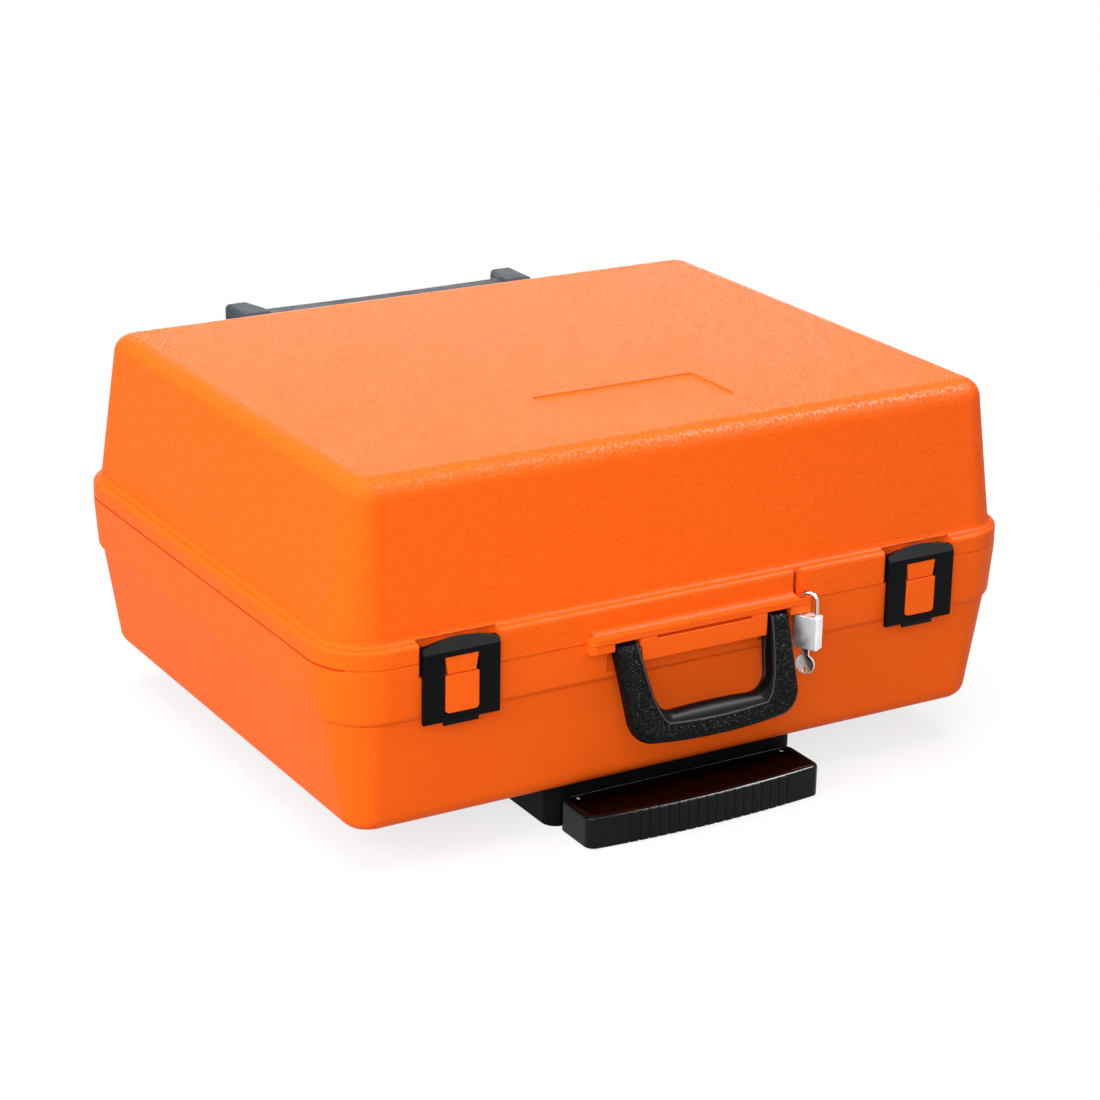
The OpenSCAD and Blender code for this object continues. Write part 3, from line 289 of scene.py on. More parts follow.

# Parting line: a mask along the slit between lid and base, on the upright sides and back of the case,
# where painted shade darkens the slit.
parting_height = 166.5 * mm
parting_front = -226 * mm
parting_half = 0.9 * mm
upright_below = 0.9
parting_tree, parting_in, parting_out = shader_group(
    "parting_painted_shade_line",
    [("Height", parting_height), ("Front", parting_front), ("Width", parting_half)],
    [("Line", "NodeSocketFloat")],
)
parting_spot = parting_tree.nodes.new("ShaderNodeTexCoord")
parting_place = parting_tree.nodes.new("ShaderNodeSeparateXYZ")
parting_lie = parting_tree.nodes.new("ShaderNodeSeparateXYZ")
parting_tree.links.new(parting_spot.outputs["Object"], parting_place.inputs[0])
parting_tree.links.new(parting_spot.outputs["Normal"], parting_lie.inputs[0])
parting_off = math_node(
    parting_tree, "ABSOLUTE",
    math_node(parting_tree, "SUBTRACT", parting_place.outputs["Z"], parting_in.outputs["Height"]),
)
parting_near = math_node(parting_tree, "LESS_THAN", parting_off, parting_in.outputs["Width"])
parting_behind = math_node(
    parting_tree, "GREATER_THAN", parting_place.outputs["Y"], parting_in.outputs["Front"]
)
parting_slope = math_node(parting_tree, "ABSOLUTE", parting_lie.outputs["Z"])
parting_upright = math_node(parting_tree, "LESS_THAN", parting_slope, upright_below)
parting_wall = math_node(parting_tree, "MULTIPLY", parting_behind, parting_upright)
parting_tree.links.new(
    math_node(parting_tree, "MULTIPLY", parting_near, parting_wall), parting_out.inputs["Line"]
)


class Finish:
    """A Principled material with the shared groups placed in it."""

    def __init__(self, name, edge_radius, patch, speck):
        self.material = bpy.data.materials.new(name)
        self.material.use_nodes = True
        self.tree = self.material.node_tree
        self.skin = self.tree.nodes["Principled BSDF"]
        self.edge = self.group(edge_tree, Radius=edge_radius)
        self.life = self.group(life_tree, Patch=patch, Speck=speck)
        self.tree.links.new(self.edge.outputs["Normal"], self.skin.inputs["Normal"])

    def group(self, tree, **values):
        """Places a shared group with its inputs set."""
        made = self.tree.nodes.new("ShaderNodeGroup")
        made.node_tree = tree
        for name, value in values.items():
            made.inputs[name].default_value = value
        return made

    def spread(self, source, low, high, dark=0.0, light=1.0):
        """Maps a mask onto a range of values."""
        made = self.tree.nodes.new("ShaderNodeMapRange")
        made.inputs["From Min"].default_value = dark
        made.inputs["From Max"].default_value = light
        made.inputs["To Min"].default_value = low
        made.inputs["To Max"].default_value = high
        self.tree.links.new(source, made.inputs["Value"])
        return made.outputs["Result"]

    def blend(self, mask, first, second):
        """Mixes two colours, or a colour that is already linked, by a mask."""
        made = self.tree.nodes.new("ShaderNodeMix")
        made.data_type = "RGBA"
        self.tree.links.new(mask, made.inputs["Factor"])
        for slot, colour in ((6, first), (7, second)):
            if isinstance(colour, bpy.types.NodeSocket):
                self.tree.links.new(colour, made.inputs[slot])
            else:
                made.inputs[slot].default_value = colour
        return made.outputs[2]

    def colour(self, socket):
        self.tree.links.new(socket, self.skin.inputs["Base Color"])

    def roughness(self, socket):
        self.tree.links.new(socket, self.skin.inputs["Roughness"])

    def bump(self, height, depth, strength=1.0):
        """Lays one more bump over the normal that the material has so far."""
        made = self.tree.nodes.new("ShaderNodeBump")
        made.inputs["Distance"].default_value = depth
        made.inputs["Strength"].default_value = strength
        self.tree.links.new(height, made.inputs["Height"])
        under = self.skin.inputs["Normal"].links[0].from_socket
        self.tree.links.new(under, made.inputs["Normal"])
        self.tree.links.new(made.outputs[0], self.skin.inputs["Normal"])


def orange_finish(name, cell, depth, crease, edge_radius, sheen, polish, flecks):
    """Orange moulding with a grain of some cell and depth, polished on its pads, darkly flecked, with
    painted shade in its creases and along its parting line.
    """
    finish = Finish(name, edge_radius, patch=shell_patch, speck=1.1 * cell)
    grain = finish.group(grain_tree, Cell=cell, Crease=crease)
    flow = finish.spread(finish.life.outputs["Tone"], 0.0, flow_shade, dark=0.3, light=0.7)
    tone = finish.blend(flow, shell_orange, shell_dark_tone_and_shade)
    # Painted shade: the grain's creases are darkened, where shade would fall in them.
    crease_painted_shade = finish.spread(grain.outputs["Creases"], 0.0, crease_shade)
    crease_shaded_tone = finish.blend(crease_painted_shade, tone, shell_dark_tone_and_shade)
    fleck = finish.spread(finish.life.outputs["Specks"], 0.0, flecks, dark=0.62, light=0.8)
    flecked = finish.blend(fleck, crease_shaded_tone, shell_fleck)
    # Painted shade along the parting line, where the slit between lid and base is shaded.
    finish.colour(finish.blend(finish.group(parting_tree).outputs["Line"], flecked, shell_gap_painted_shade))
    finish.roughness(finish.spread(grain.outputs["Creases"], polish, crease_dullness))
    finish.skin.inputs["Specular IOR Level"].default_value = sheen
    finish.bump(grain.outputs["Height"], depth)
    return finish


def dressed(name, mesh, body, slot, finish, sharp, *nodes, broken=0.0, broken_from=30.0):
    """Makes the piece of a finished mesh: smooth up to the sharp angle, with flat faces kept flat."""
    mesh.shade_smooth()
    mesh.set_sharp_from_angle(angle=math.radians(sharp))
    raw = bpy.data.objects.new(name + "_raw", mesh)
    scene.collection.objects.link(raw)
    if broken:
        chamfer = raw.modifiers.new("broken_edges", "BEVEL")
        chamfer.limit_method = "ANGLE"
        chamfer.angle_limit = math.radians(broken_from)
        chamfer.width = broken
        chamfer.segments = 2
    weigh = raw.modifiers.new("flat_faces", "WEIGHTED_NORMAL")
    weigh.keep_sharp = True
    weigh.weight = 80
    seen = raw.evaluated_get(bpy.context.evaluated_depsgraph_get())
    plain = bpy.data.meshes.new_from_object(seen)
    bpy.data.objects.remove(raw)
    plain.name = name
    plain.materials.clear()
    plain.materials.append(finish)
    piece = bpy.data.objects.new(name, plain)
    scene.collection.objects.link(piece)
    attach(piece, body)
    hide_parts(*nodes)
    return piece


def moulded(name, node, body, slot, finish, sharp=30.0, broken=0.0, broken_from=30.0):
    """Replaces a node by a welded copy of its solid, with its flat faces joined and its edges broken."""
    shape = bmesh.new()
    shape.from_mesh(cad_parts[node].data)
    bmesh.ops.remove_doubles(shape, verts=shape.verts, dist=weld_gap)
    bmesh.ops.dissolve_limit(
        shape, angle_limit=math.radians(flat_within), verts=shape.verts, edges=shape.edges,
        use_dissolve_boundaries=False,
    )
    shape.verts.index_update()
    mesh = bpy.data.meshes.new(name)
    mesh.from_pydata(
        [v.co.copy() for v in shape.verts], [], [[v.index for v in f.verts] for f in shape.faces]
    )
    shape.free()
    return dressed(name, mesh, body, slot, finish, sharp, node, broken=broken, broken_from=broken_from)


base_finish = orange_finish(
    "orange_base", base_grain_cell, base_grain_depth, crease=0.3, edge_radius=shell_round,
    sheen=0.05, polish=0.33, flecks=0.06,
)
moulded(
    "case_base", "base_shell", "base", "orange_shell", base_finish.material,
    broken=shell_edge, broken_from=shell_sharp,
)

# Lid of the case: the same orange, with a coarser leather grain that breaks up the light on its top.
# It is moulded in one piece with the hasp flange, the latch pockets and the sunk label panel.
# The tops of the grain gleam a little from handling; the flange and the band below gleam evenly.
lid_grain_cell = 2.3 * mm
lid_grain_depth = 0.2 * mm
grain_gleam = 0.13
band_gleam = 0.05
gleam_dullness = 0.34
ledge_low, ledge_high = 184 * mm, 192 * mm

lid_finish = orange_finish(
    "orange_lid", lid_grain_cell, lid_grain_depth, crease=0.4, edge_radius=shell_round,
    sheen=0.02, polish=0.16, flecks=0.25,
)
lid_place = lid_finish.tree.nodes.new("ShaderNodeTexCoord")
lid_height = lid_finish.tree.nodes.new("ShaderNodeSeparateXYZ")
lid_finish.tree.links.new(lid_place.outputs["Object"], lid_height.inputs[0])
above_ledge = lid_finish.spread(lid_height.outputs["Z"], 0.0, 1.0, dark=ledge_low, light=ledge_high)
below_ledge = lid_finish.spread(
    lid_height.outputs["Z"], band_gleam, 0.0, dark=ledge_low, light=ledge_high
)
on_tops = lid_finish.spread(lid_finish.life.outputs["Specks"], grain_gleam, 0.0, dark=0.38, light=0.6)
lid_gleam = math_node(
    lid_finish.tree, "ADD", math_node(lid_finish.tree, "MULTIPLY", on_tops, above_ledge), below_ledge
)
lid_finish.tree.links.new(lid_gleam, lid_finish.skin.inputs["Coat Weight"])
lid_finish.skin.inputs["Coat Roughness"].default_value = gleam_dullness
moulded(
    "case_lid", "lid_shell", "lid", "orange_shell", lid_finish.material,
    broken=shell_edge, broken_from=shell_sharp,
)

# Hinge pins, latch pins and handle pins: lengths of drawn steel wire, pressed through the knuckles.
# Fine lines run over the metal, and the ends are plainly cut.
steel_tone = (0.62, 0.62, 0.63, 1)
steel_dark = (0.42, 0.42, 0.43, 1)
metal_patch = 14 * mm
metal_speck = 0.4 * mm
metal_line = 0.008 * mm


def dress_node(material, *nodes):
    """Gives a node that keeps its own solid another finish."""
    for node in nodes:
        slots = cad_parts[node].data.materials
        for index in range(len(slots)):
            slots[index] = material


def metal_finish(name, bright, dull, low, high, edge_radius):
    """Bare or plated metal between two tones and two degrees of dullness."""
    finish = Finish(name, edge_radius, patch=metal_patch, speck=metal_speck)
    finish.skin.inputs["Metallic"].default_value = 1.0
    finish.colour(finish.blend(finish.life.outputs["Tone"], bright, dull))
    finish.roughness(finish.spread(finish.life.outputs["Dullness"], low, high, dark=0.3, light=0.7))
    finish.bump(finish.life.outputs["Specks"], metal_line, strength=0.5)
    return finish.material


steel = metal_finish("bright_steel", steel_tone, steel_dark, low=0.22, high=0.36, edge_radius=0.3 * mm)
dress_node(steel, "hinge_pins", "latch_pin_left", "latch_pin_right", "handle_pins")

# Latches: two black frames, injection moulded, with a bevelled arch at the top and a finger tab below.
# Each turns on a pin in the lid and snaps its lower bar under a boss on the base.
latch_edge = 0.45 * mm
black_tone = (0.0018, 0.0021, 0.0024, 1)
black_worn = (0.008, 0.009, 0.010, 1)
black_patch = 35 * mm
black_speck = 0.7 * mm
black_texture = 0.02 * mm
black_flow = 0.25
black_edge_wear_and_highlight = 0.5


def black_finish(name, low, high, edge_radius, gloss, tone=black_tone, worn=black_worn):
    """Satin black plastic that is a little paler where its edges are broken: wear with a painted edge
    highlight.
    """
    finish = Finish(name, edge_radius, patch=black_patch, speck=black_speck)
    flow = finish.spread(finish.life.outputs["Tone"], 0.0, black_flow, dark=0.3, light=0.7)
    body_tone = finish.blend(flow, tone, worn)
    # Broken edges are painted paler: partly wear, partly a painted highlight along the edges.
    edge_wear_and_highlight = finish.spread(finish.edge.outputs["Edge"], 0.0, black_edge_wear_and_highlight)
    finish.colour(finish.blend(edge_wear_and_highlight, body_tone, worn))
    finish.roughness(finish.spread(finish.life.outputs["Dullness"], low, high, dark=0.3, light=0.7))
    finish.skin.inputs["Specular IOR Level"].default_value = gloss
    finish.bump(finish.life.outputs["Specks"], black_texture, strength=0.4)
    return finish.material


latch_black = black_finish("latch_black", low=0.24, high=0.36, edge_radius=0.5 * mm, gloss=0.05)
for side in ("left", "right"):
    moulded(
        "latch_" + side + "_frame", "latch_frame_" + side, "latch_" + side, "black_plastic", latch_black,
        broken=latch_edge,
    )

# Carry handle: one thick black moulding that swings on two pins in the base's bracket.
# It has pebble grain, except on the smooth and round palm side, which a fine ridge borders.
# Its loop is drawn flat, in millimetres from the pivots, and then leant out to its place.
handle_place = Vector((0.0, -243.5, 145.5)) * mm
handle_lean = math.radians(-21.0)
handle_half = 76.5
handle_reach = 70.5
handle_bow = 3.0
handle_arm = 19.0
handle_bar = 22.0
handle_thick = 15.7
handle_bend = 20.0
handle_inner_bend = 17.0
handle_taper = 2.5
handle_flare = 3.0
palm_arm = 2.4
palm_bar = 12.0
palm_pivot = 1.2
palm_depth = 11.0
palm_fullness = 3.0
palm_widens = 0.5
palm_from = 50.0
palm_run = 15.0
palm_dullness = 0.38
ridge = 0.7
ridge_run = 2.4
# The ridge's paler grey is a painted highlight along it.
ridge_highlight_strength = 0.8
ridge_painted_highlight = (0.05, 0.052, 0.055, 1)
front_round = 6.0
back_round = 2.0
grain_drop = 0.3
end_rows = 7
end_cover = 0.98
end_flat = 0.02
pebble_cell = 1.5 * mm
pebble_depth = 0.26 * mm
pebble_gloss = 0.045
pebble_dullness = 0.24
# Pebble pads are painted lighter and its creases darker, as painted light and shade on the grain.
pebble_pad_painted_light = (0.0026, 0.003, 0.0034, 1)
pebble_crease_painted_shade = (0.001, 0.0011, 0.0013, 1)
# Pale specks on the pebbles are a painted sparkle highlight.
pebble_painted_sparkle = (0.012, 0.013, 0.014, 1)
handle_sharp = 50.0


def handle_rails(arm_rows=10, bend_rows=22, bar_rows=16):
    """Pairs of points on the outer and inner edge, from one pivot round to the other."""
    inner = handle_half - handle_arm
    depth = handle_reach - handle_bar
    foot = handle_half - handle_taper
    gap = inner - handle_taper - handle_flare
    half = []
    for row in range(arm_rows):
        along = row / arm_rows
        half.append((
            -handle_half + along * (handle_half - foot), -along * (handle_reach - handle_bend),
            -inner + along * (inner - gap), -along * (depth - handle_inner_bend),
        ))
    for row in range(bend_rows + 1):
        turn = math.pi / 2 * row / bend_rows
        across, down = 1 - math.cos(turn), 1 - math.sin(turn)
        half.append((
            -foot + handle_bend * across, -handle_reach + handle_bend * down,
            -gap + handle_inner_bend * across, -depth + handle_inner_bend * down,
        ))
    for row in range(1, bar_rows + 1):
        along = row / bar_rows
        swell = handle_bow * (1 - (1 - along) ** 2)
        half.append((
            -(foot - handle_bend) * (1 - along), -handle_reach - swell,
            -(gap - handle_inner_bend) * (1 - along), -depth + swell / 3,
        ))
    return half + [(-a, b, -c, d) for a, b, c, d in reversed(half[:-1])]


def handle_section(width, palm):
    """Outline of the section from the palm side on, with 1 where it is pebbled and 0.5 on the ridge."""
    half = width / 2
    deep = handle_thick / 2
    points = []

    def arc(u, v, radius_u, radius_v, start, end, steps, grain):
        for step in range(steps + 1):
            angle = math.radians(start + (end - start) * step / steps)
            points.append((u + radius_u * math.cos(angle), v + radius_v * math.sin(angle), grain))

    sink = min(palm_fullness * palm, palm_depth)
    arc(-half + palm, sink - deep + ridge, palm, sink, 180, 268, 16, 0.0)
    arc(-half + palm + ridge, ridge - deep, ridge, ridge, 200, 340, 6, 0.5)
    points.append((-half + palm + ridge_run * ridge, ridge - deep, 1.0))
    arc(half - front_round, front_round + grain_drop - deep, front_round, front_round, 272, 360, 7, 1.0)
    arc(half - front_round, deep - front_round, front_round, front_round, 0, 90, 7, 1.0)
    points.append((0.0, deep, 1.0))
    arc(-half + back_round, deep - back_round, back_round, back_round, 90, 170, 6, 1.0)
    return points


def outward(mesh):
    """Turns all faces of a closed mesh to the outside."""
    shape = bmesh.new()
    shape.from_mesh(mesh)
    bmesh.ops.recalc_face_normals(shape, faces=shape.faces)
    shape.to_mesh(mesh)
    shape.free()


def handle_loop():
    """Sweeps the section between the rails, with a round end at each pivot."""
    rails = handle_rails()
    rows = []
    for turn in [math.pi / 2 * (1 - end_cover * step / end_rows) for step in range(end_rows)]:
        rows.append((rails[0], math.cos(turn), handle_thick / 2 * math.sin(turn)))
    rows += [(rail, 1.0, 0.0) for rail in rails]
    for turn in [math.pi / 2 * end_cover * (step + 1) / end_rows for step in range(end_rows)]:
        rows.append((rails[-1], math.cos(turn), handle_thick / 2 * math.sin(turn)))
    tilt = Matrix.Translation(handle_place) @ Matrix.Rotation(handle_lean, 4, "X")
    verts, grain = [], []
    for (out_x, out_z, in_x, in_z), flat, lift in rows:
        width = math.hypot(out_x - in_x, out_z - in_z)
        down = min(1.0, -out_z / (palm_widens * handle_reach))
        level = min(1.0, max(0.0, (palm_from - abs(in_x)) / palm_run))
        palm = palm_pivot + (palm_arm - palm_pivot) * down + (palm_bar - palm_arm) * level
        for across, deep, pebbled in handle_section(width, palm):
            share = across / width + 0.5
            place = Vector((
                in_x + (out_x - in_x) * share,
                max(flat, end_flat) * deep,
                in_z + (out_z - in_z) * share + lift,
            ))
            verts.append(tilt @ (place * mm))
            grain.append(pebbled)
    around = len(verts) // len(rows)
    faces = [
        (row * around + k, row * around + (k + 1) % around,
         (row + 1) * around + (k + 1) % around, (row + 1) * around + k)
        for row in range(len(rows) - 1) for k in range(around)
    ]
    faces.append(tuple(range(around)))
    faces.append(tuple(range((len(rows) - 1) * around, len(rows) * around)))
    mesh = bpy.data.meshes.new("handle_loop")
    mesh.from_pydata(verts, [], faces)
    outward(mesh)
    mesh.attributes.new("pebbled", "FLOAT", "POINT").data.foreach_set("value", grain)
    return mesh


pebble = Finish("pebbled_black", edge_radius=0.6 * mm, patch=30 * mm, speck=0.9 * mm)
pebble_grain = pebble.group(grain_tree, Cell=pebble_cell, Crease=0.4)
pebble_zone = pebble.tree.nodes.new("ShaderNodeAttribute")
pebble_zone.attribute_name = "pebbled"
on_pebble = pebble_zone.outputs["Fac"]
# Painted light and shade on the grain: pale pads and dark creases.
pebble_painted_light_and_shade = pebble.blend(pebble_grain.outputs["Creases"], pebble_pad_painted_light, pebble_crease_painted_shade)
# Painted highlight: random pale specks on the pebbled faces, standing in for the grain's sparkle.
pebble_tops = pebble.spread(pebble.life.outputs["Specks"], 0.0, 1.0, dark=0.54, light=0.68)
sparkle_spots = math_node(pebble.tree, "MULTIPLY", pebble_tops, on_pebble)
sparkled_tone = pebble.blend(sparkle_spots, pebble_painted_light_and_shade, pebble_painted_sparkle)
# Painted highlight: the ridge between palm and pebbles is painted paler, where it would catch the light.
on_ridge = math_node(pebble.tree, "PINGPONG", on_pebble, 0.5)
ridge_highlight_mask = pebble.spread(on_ridge, 0.0, ridge_highlight_strength, dark=0.2, light=0.5)
pebble.colour(pebble.blend(ridge_highlight_mask, sparkled_tone, ridge_painted_highlight))
pebble.skin.inputs["Specular IOR Level"].default_value = pebble_gloss
pebble.roughness(pebble.spread(on_pebble, palm_dullness, pebble_dullness))
pebble.bump(
    math_node(pebble.tree, "MULTIPLY", pebble_grain.outputs["Height"], on_pebble), pebble_depth
)
dressed(
    "handle_loop", handle_loop(), "carry_handle", "grained_black", pebble.material, handle_sharp,
    "carry_handle",
)

# Padlock: a cast body with a satin silver finish, a chromed shackle, a brass plug and a pressed key.
# The shackle goes down through the hasp holes of lid and base, so that the two stay shut.
lock_edge = 0.6 * mm
key_edge = 0.3 * mm
satin_tone, satin_dark = (0.74, 0.76, 0.78, 1), (0.64, 0.66, 0.68, 1)
chrome_tone, chrome_dark = (0.52, 0.51, 0.49, 1), (0.44, 0.43, 0.41, 1)
brass_tone, brass_dark = (0.66, 0.48, 0.22, 1), (0.5, 0.36, 0.16, 1)
nickel_tone, nickel_dark = (0.70, 0.69, 0.66, 1), (0.55, 0.54, 0.52, 1)

satin_silver = metal_finish(
    "satin_silver", satin_tone, satin_dark, low=0.38, high=0.5, edge_radius=0.5 * mm
)
moulded("padlock_case", "padlock_body", "padlock", "padlock_satin", satin_silver, broken=lock_edge)
chrome = metal_finish(
    "shackle_chrome", chrome_tone, chrome_dark, low=0.06, high=0.12, edge_radius=0.2 * mm
)
dress_node(chrome, "padlock_shackle")
brass = metal_finish("plug_brass", brass_tone, brass_dark, low=0.24, high=0.36, edge_radius=0.2 * mm)
dress_node(brass, "padlock_plug")
key_nickel = metal_finish(
    "key_nickel", nickel_tone, nickel_dark, low=0.2, high=0.32, edge_radius=0.3 * mm
)
moulded("padlock_key_blank", "padlock_key", "key", "bright_steel", key_nickel, broken=key_edge)

# Chassis of the trolley: a ribbed black tray under the case, which holds the telescopic tubes and axle.
# It is satin plastic, with the tubes' guide rings and stops in the same black.
chassis_black = black_finish("chassis_black", low=0.42, high=0.56, edge_radius=1.0 * mm, gloss=0.04)
dress_node(chassis_black, "chassis", "outer_collars", "middle_collars", "middle_stops", "inner_stops")

# Chassis screws: six pan-head screws that hold the tray to the base's floor, driven from inside the case.
# They stand in two rows of three, each turned as far as it happened to go.
chassis_screw_pitch = (88 * mm, 150 * mm)
chassis_screw_seat = 37 * mm
chassis_screw_length = 22 * mm
screw_sides = 28
screw_sharp = 35.0
screw_point = 0.4
crown_flat = 0.35
cross_reach = 0.62
cross_floor = 0.5


def turned(name, profile, sides):
    """Mesh turned about Z from radii and heights, closed at both ends."""
    verts = [
        (radius * math.cos(2 * math.pi * k / sides), radius * math.sin(2 * math.pi * k / sides), height)
        for radius, height in profile for k in range(sides)
    ]
    faces = [
        (row * sides + k, row * sides + (k + 1) % sides,
         (row + 1) * sides + (k + 1) % sides, (row + 1) * sides + k)
        for row in range(len(profile) - 1) for k in range(sides)
    ]
    faces.append(tuple(range(sides)))
    faces.append(tuple(range((len(profile) - 1) * sides, len(profile) * sides)))
    mesh = bpy.data.meshes.new(name)
    mesh.from_pydata(verts, [], faces)
    outward(mesh)
    return mesh


def cross_head_screw(name, head_r, head_h, shank_r, length, slot):
    """Screw standing on the underside of its head, with a cross cut in the top."""
    profile = [
        (shank_r * screw_point, -length), (shank_r, -length + shank_r), (shank_r, 0.0), (head_r, 0.0),
    ]
    for step in range(7):
        turn = math.pi / 2 * step / 6
        crown_r = crown_flat + (1 - crown_flat) * math.cos(turn)
        crown_h = crown_flat + (1 - crown_flat) * math.sin(turn)
        profile.append((head_r * crown_r, head_h * crown_h))
    body = bpy.data.objects.new(name, turned(name, profile, screw_sides))
    arm, half = head_r * cross_reach, slot / 2
    plan = [
        (-half, -arm), (half, -arm), (half, -half), (arm, -half), (arm, half), (half, half),
        (half, arm), (-half, arm), (-half, half), (-arm, half), (-arm, -half), (-half, -half),
    ]
    count = len(plan)
    cross = bpy.data.meshes.new(name + "_cross")
    cross.from_pydata(
        [(x, y, z) for z in (head_h * cross_floor, head_h * 2) for x, y in plan], [],
        [tuple(range(count)), tuple(range(count, 2 * count))]
        + [(k, (k + 1) % count, count + (k + 1) % count, count + k) for k in range(count)],
    )
    outward(cross)
    cutter = bpy.data.objects.new(name + "_cross", cross)
    for item in (body, cutter):
        scene.collection.objects.link(item)
    cut = body.modifiers.new("recess", "BOOLEAN")
    cut.operation = "DIFFERENCE"
    cut.solver = "EXACT"
    cut.object = cutter
    seen = body.evaluated_get(bpy.context.evaluated_depsgraph_get())
    plain = bpy.data.meshes.new_from_object(seen)
    bpy.data.objects.remove(body)
    bpy.data.objects.remove(cutter)
    return plain


def geometry_tree(name, inputs):
    """Geometry Nodes tree with a mesh in, a mesh out and named inputs. Gives the tree and its ends."""
    tree = bpy.data.node_groups.new(name, "GeometryNodeTree")
    tree.interface.new_socket("Geometry", in_out="INPUT", socket_type="NodeSocketGeometry")
    for socket, kind in inputs:
        tree.interface.new_socket(socket, in_out="INPUT", socket_type="NodeSocket" + kind)
    tree.interface.new_socket("Geometry", in_out="OUTPUT", socket_type="NodeSocketGeometry")
    return tree, tree.nodes.new("NodeGroupInput"), tree.nodes.new("NodeGroupOutput")


def joined(tree, kind, *links, **settings):
    """New node with its settings, and with sockets or values given to its inputs by name or number."""
    made = tree.nodes.new(kind)
    for label, value in settings.items():
        setattr(made, label, value)
    for slot, value in links:
        if isinstance(value, bpy.types.NodeSocket):
            tree.links.new(value, made.inputs[slot])
        else:
            made.inputs[slot].default_value = value
    return made


def grown(name, mesh, tree, values):
    """Runs a tree over a mesh and gives the plain mesh that comes out."""
    raw = bpy.data.objects.new(name, mesh)
    scene.collection.objects.link(raw)
    run = raw.modifiers.new(name, "NODES")
    run.node_group = tree
    for item in tree.interface.items_tree:
        if item.in_out == "INPUT" and item.name in values:
            run[item.identifier] = values[item.name]
    seen = raw.evaluated_get(bpy.context.evaluated_depsgraph_get())
    plain = bpy.data.meshes.new_from_object(seen)
    raw.modifiers.remove(run)
    bpy.data.objects.remove(raw)
    return plain


# Screws in rows: a grid of places, with one screw on each at a turn of its own.
rows_tree, rows_in, rows_out = geometry_tree("screws_in_rows", [
    ("Columns", "Int"), ("Rows", "Int"), ("Pitch X", "Float"), ("Pitch Y", "Float"), ("Middle", "Vector"),
    ("Seed", "Int"), ("Finish", "Material"),
])
rows_span = []
for count, pitch in (("Columns", "Pitch X"), ("Rows", "Pitch Y")):
    gaps = math_node(rows_tree, "SUBTRACT", rows_in.outputs[count], 1.0)
    rows_span.append(math_node(rows_tree, "MULTIPLY", gaps, rows_in.outputs[pitch]))
rows_grid = joined(
    rows_tree, "GeometryNodeMeshGrid", ("Size X", rows_span[0]), ("Size Y", rows_span[1]),
    ("Vertices X", rows_in.outputs["Columns"]), ("Vertices Y", rows_in.outputs["Rows"]),
)
rows_turn = joined(
    rows_tree, "FunctionNodeRandomValue", ("Max", (0.0, 0.0, math.pi)), ("Seed", rows_in.outputs["Seed"]),
    data_type="FLOAT_VECTOR",
)
rows_place = joined(
    rows_tree, "GeometryNodeSetPosition", ("Geometry", rows_grid.outputs["Mesh"]),
    ("Offset", rows_in.outputs["Middle"]),
)
rows_set = joined(
    rows_tree, "GeometryNodeInstanceOnPoints", ("Points", rows_place.outputs[0]),
    ("Instance", rows_in.outputs["Geometry"]), ("Rotation", rows_turn.outputs["Value"]),
)
rows_plain = joined(rows_tree, "GeometryNodeRealizeInstances", ("Geometry", rows_set.outputs[0]))
rows_dressed = joined(
    rows_tree, "GeometryNodeSetMaterial", ("Geometry", rows_plain.outputs[0]),
    ("Material", rows_in.outputs["Finish"]),
)
rows_tree.links.new(rows_dressed.outputs[0], rows_out.inputs[0])

chassis_screw = cross_head_screw(
    "chassis_screw", head_r=5 * mm, head_h=2.6 * mm, shank_r=1.75 * mm, length=chassis_screw_length,
    slot=1.2 * mm,
)
chassis_screw_set = grown("chassis_screw_set", chassis_screw, rows_tree, {
    "Columns": 2, "Rows": 3, "Pitch X": chassis_screw_pitch[0], "Pitch Y": chassis_screw_pitch[1],
    "Middle": (0.0, 0.0, chassis_screw_seat), "Seed": 3, "Finish": steel,
})
dressed(
    "chassis_screw_set", chassis_screw_set, "base", "bright_steel", steel, screw_sharp, "chassis_screws"
)

# Telescopic tubes: drawn and anodised aluminium, one inside the other, in three stages on each side.
# They run in the chassis and carry the pull-out grip.
tube_tone, tube_dark = (0.60, 0.61, 0.63, 1), (0.46, 0.47, 0.49, 1)
tube_finish = metal_finish(
    "anodised_tube", tube_tone, tube_dark, low=0.26, high=0.4, edge_radius=0.2 * mm
)
dress_node(tube_finish, "outer_tubes", "middle_tubes", "inner_tubes")

# Pull-out grip: a grooved black moulding on the inner tubes, with a polished cover plate let into it.
# Two small screws at the back corners hold the cover down.
cover_edge = 0.3 * mm
# Both cover tones are near black tinted red, a painted reflection of the orange case.
cover_red_painted_reflection, cover_worn = (0.0012, 0.0003, 0.0003, 1), (0.003, 0.001, 0.001, 1)
cover_screw_pitch = 184 * mm
cover_screw_middle = (0.0, -222.7 * mm, 24.0 * mm)

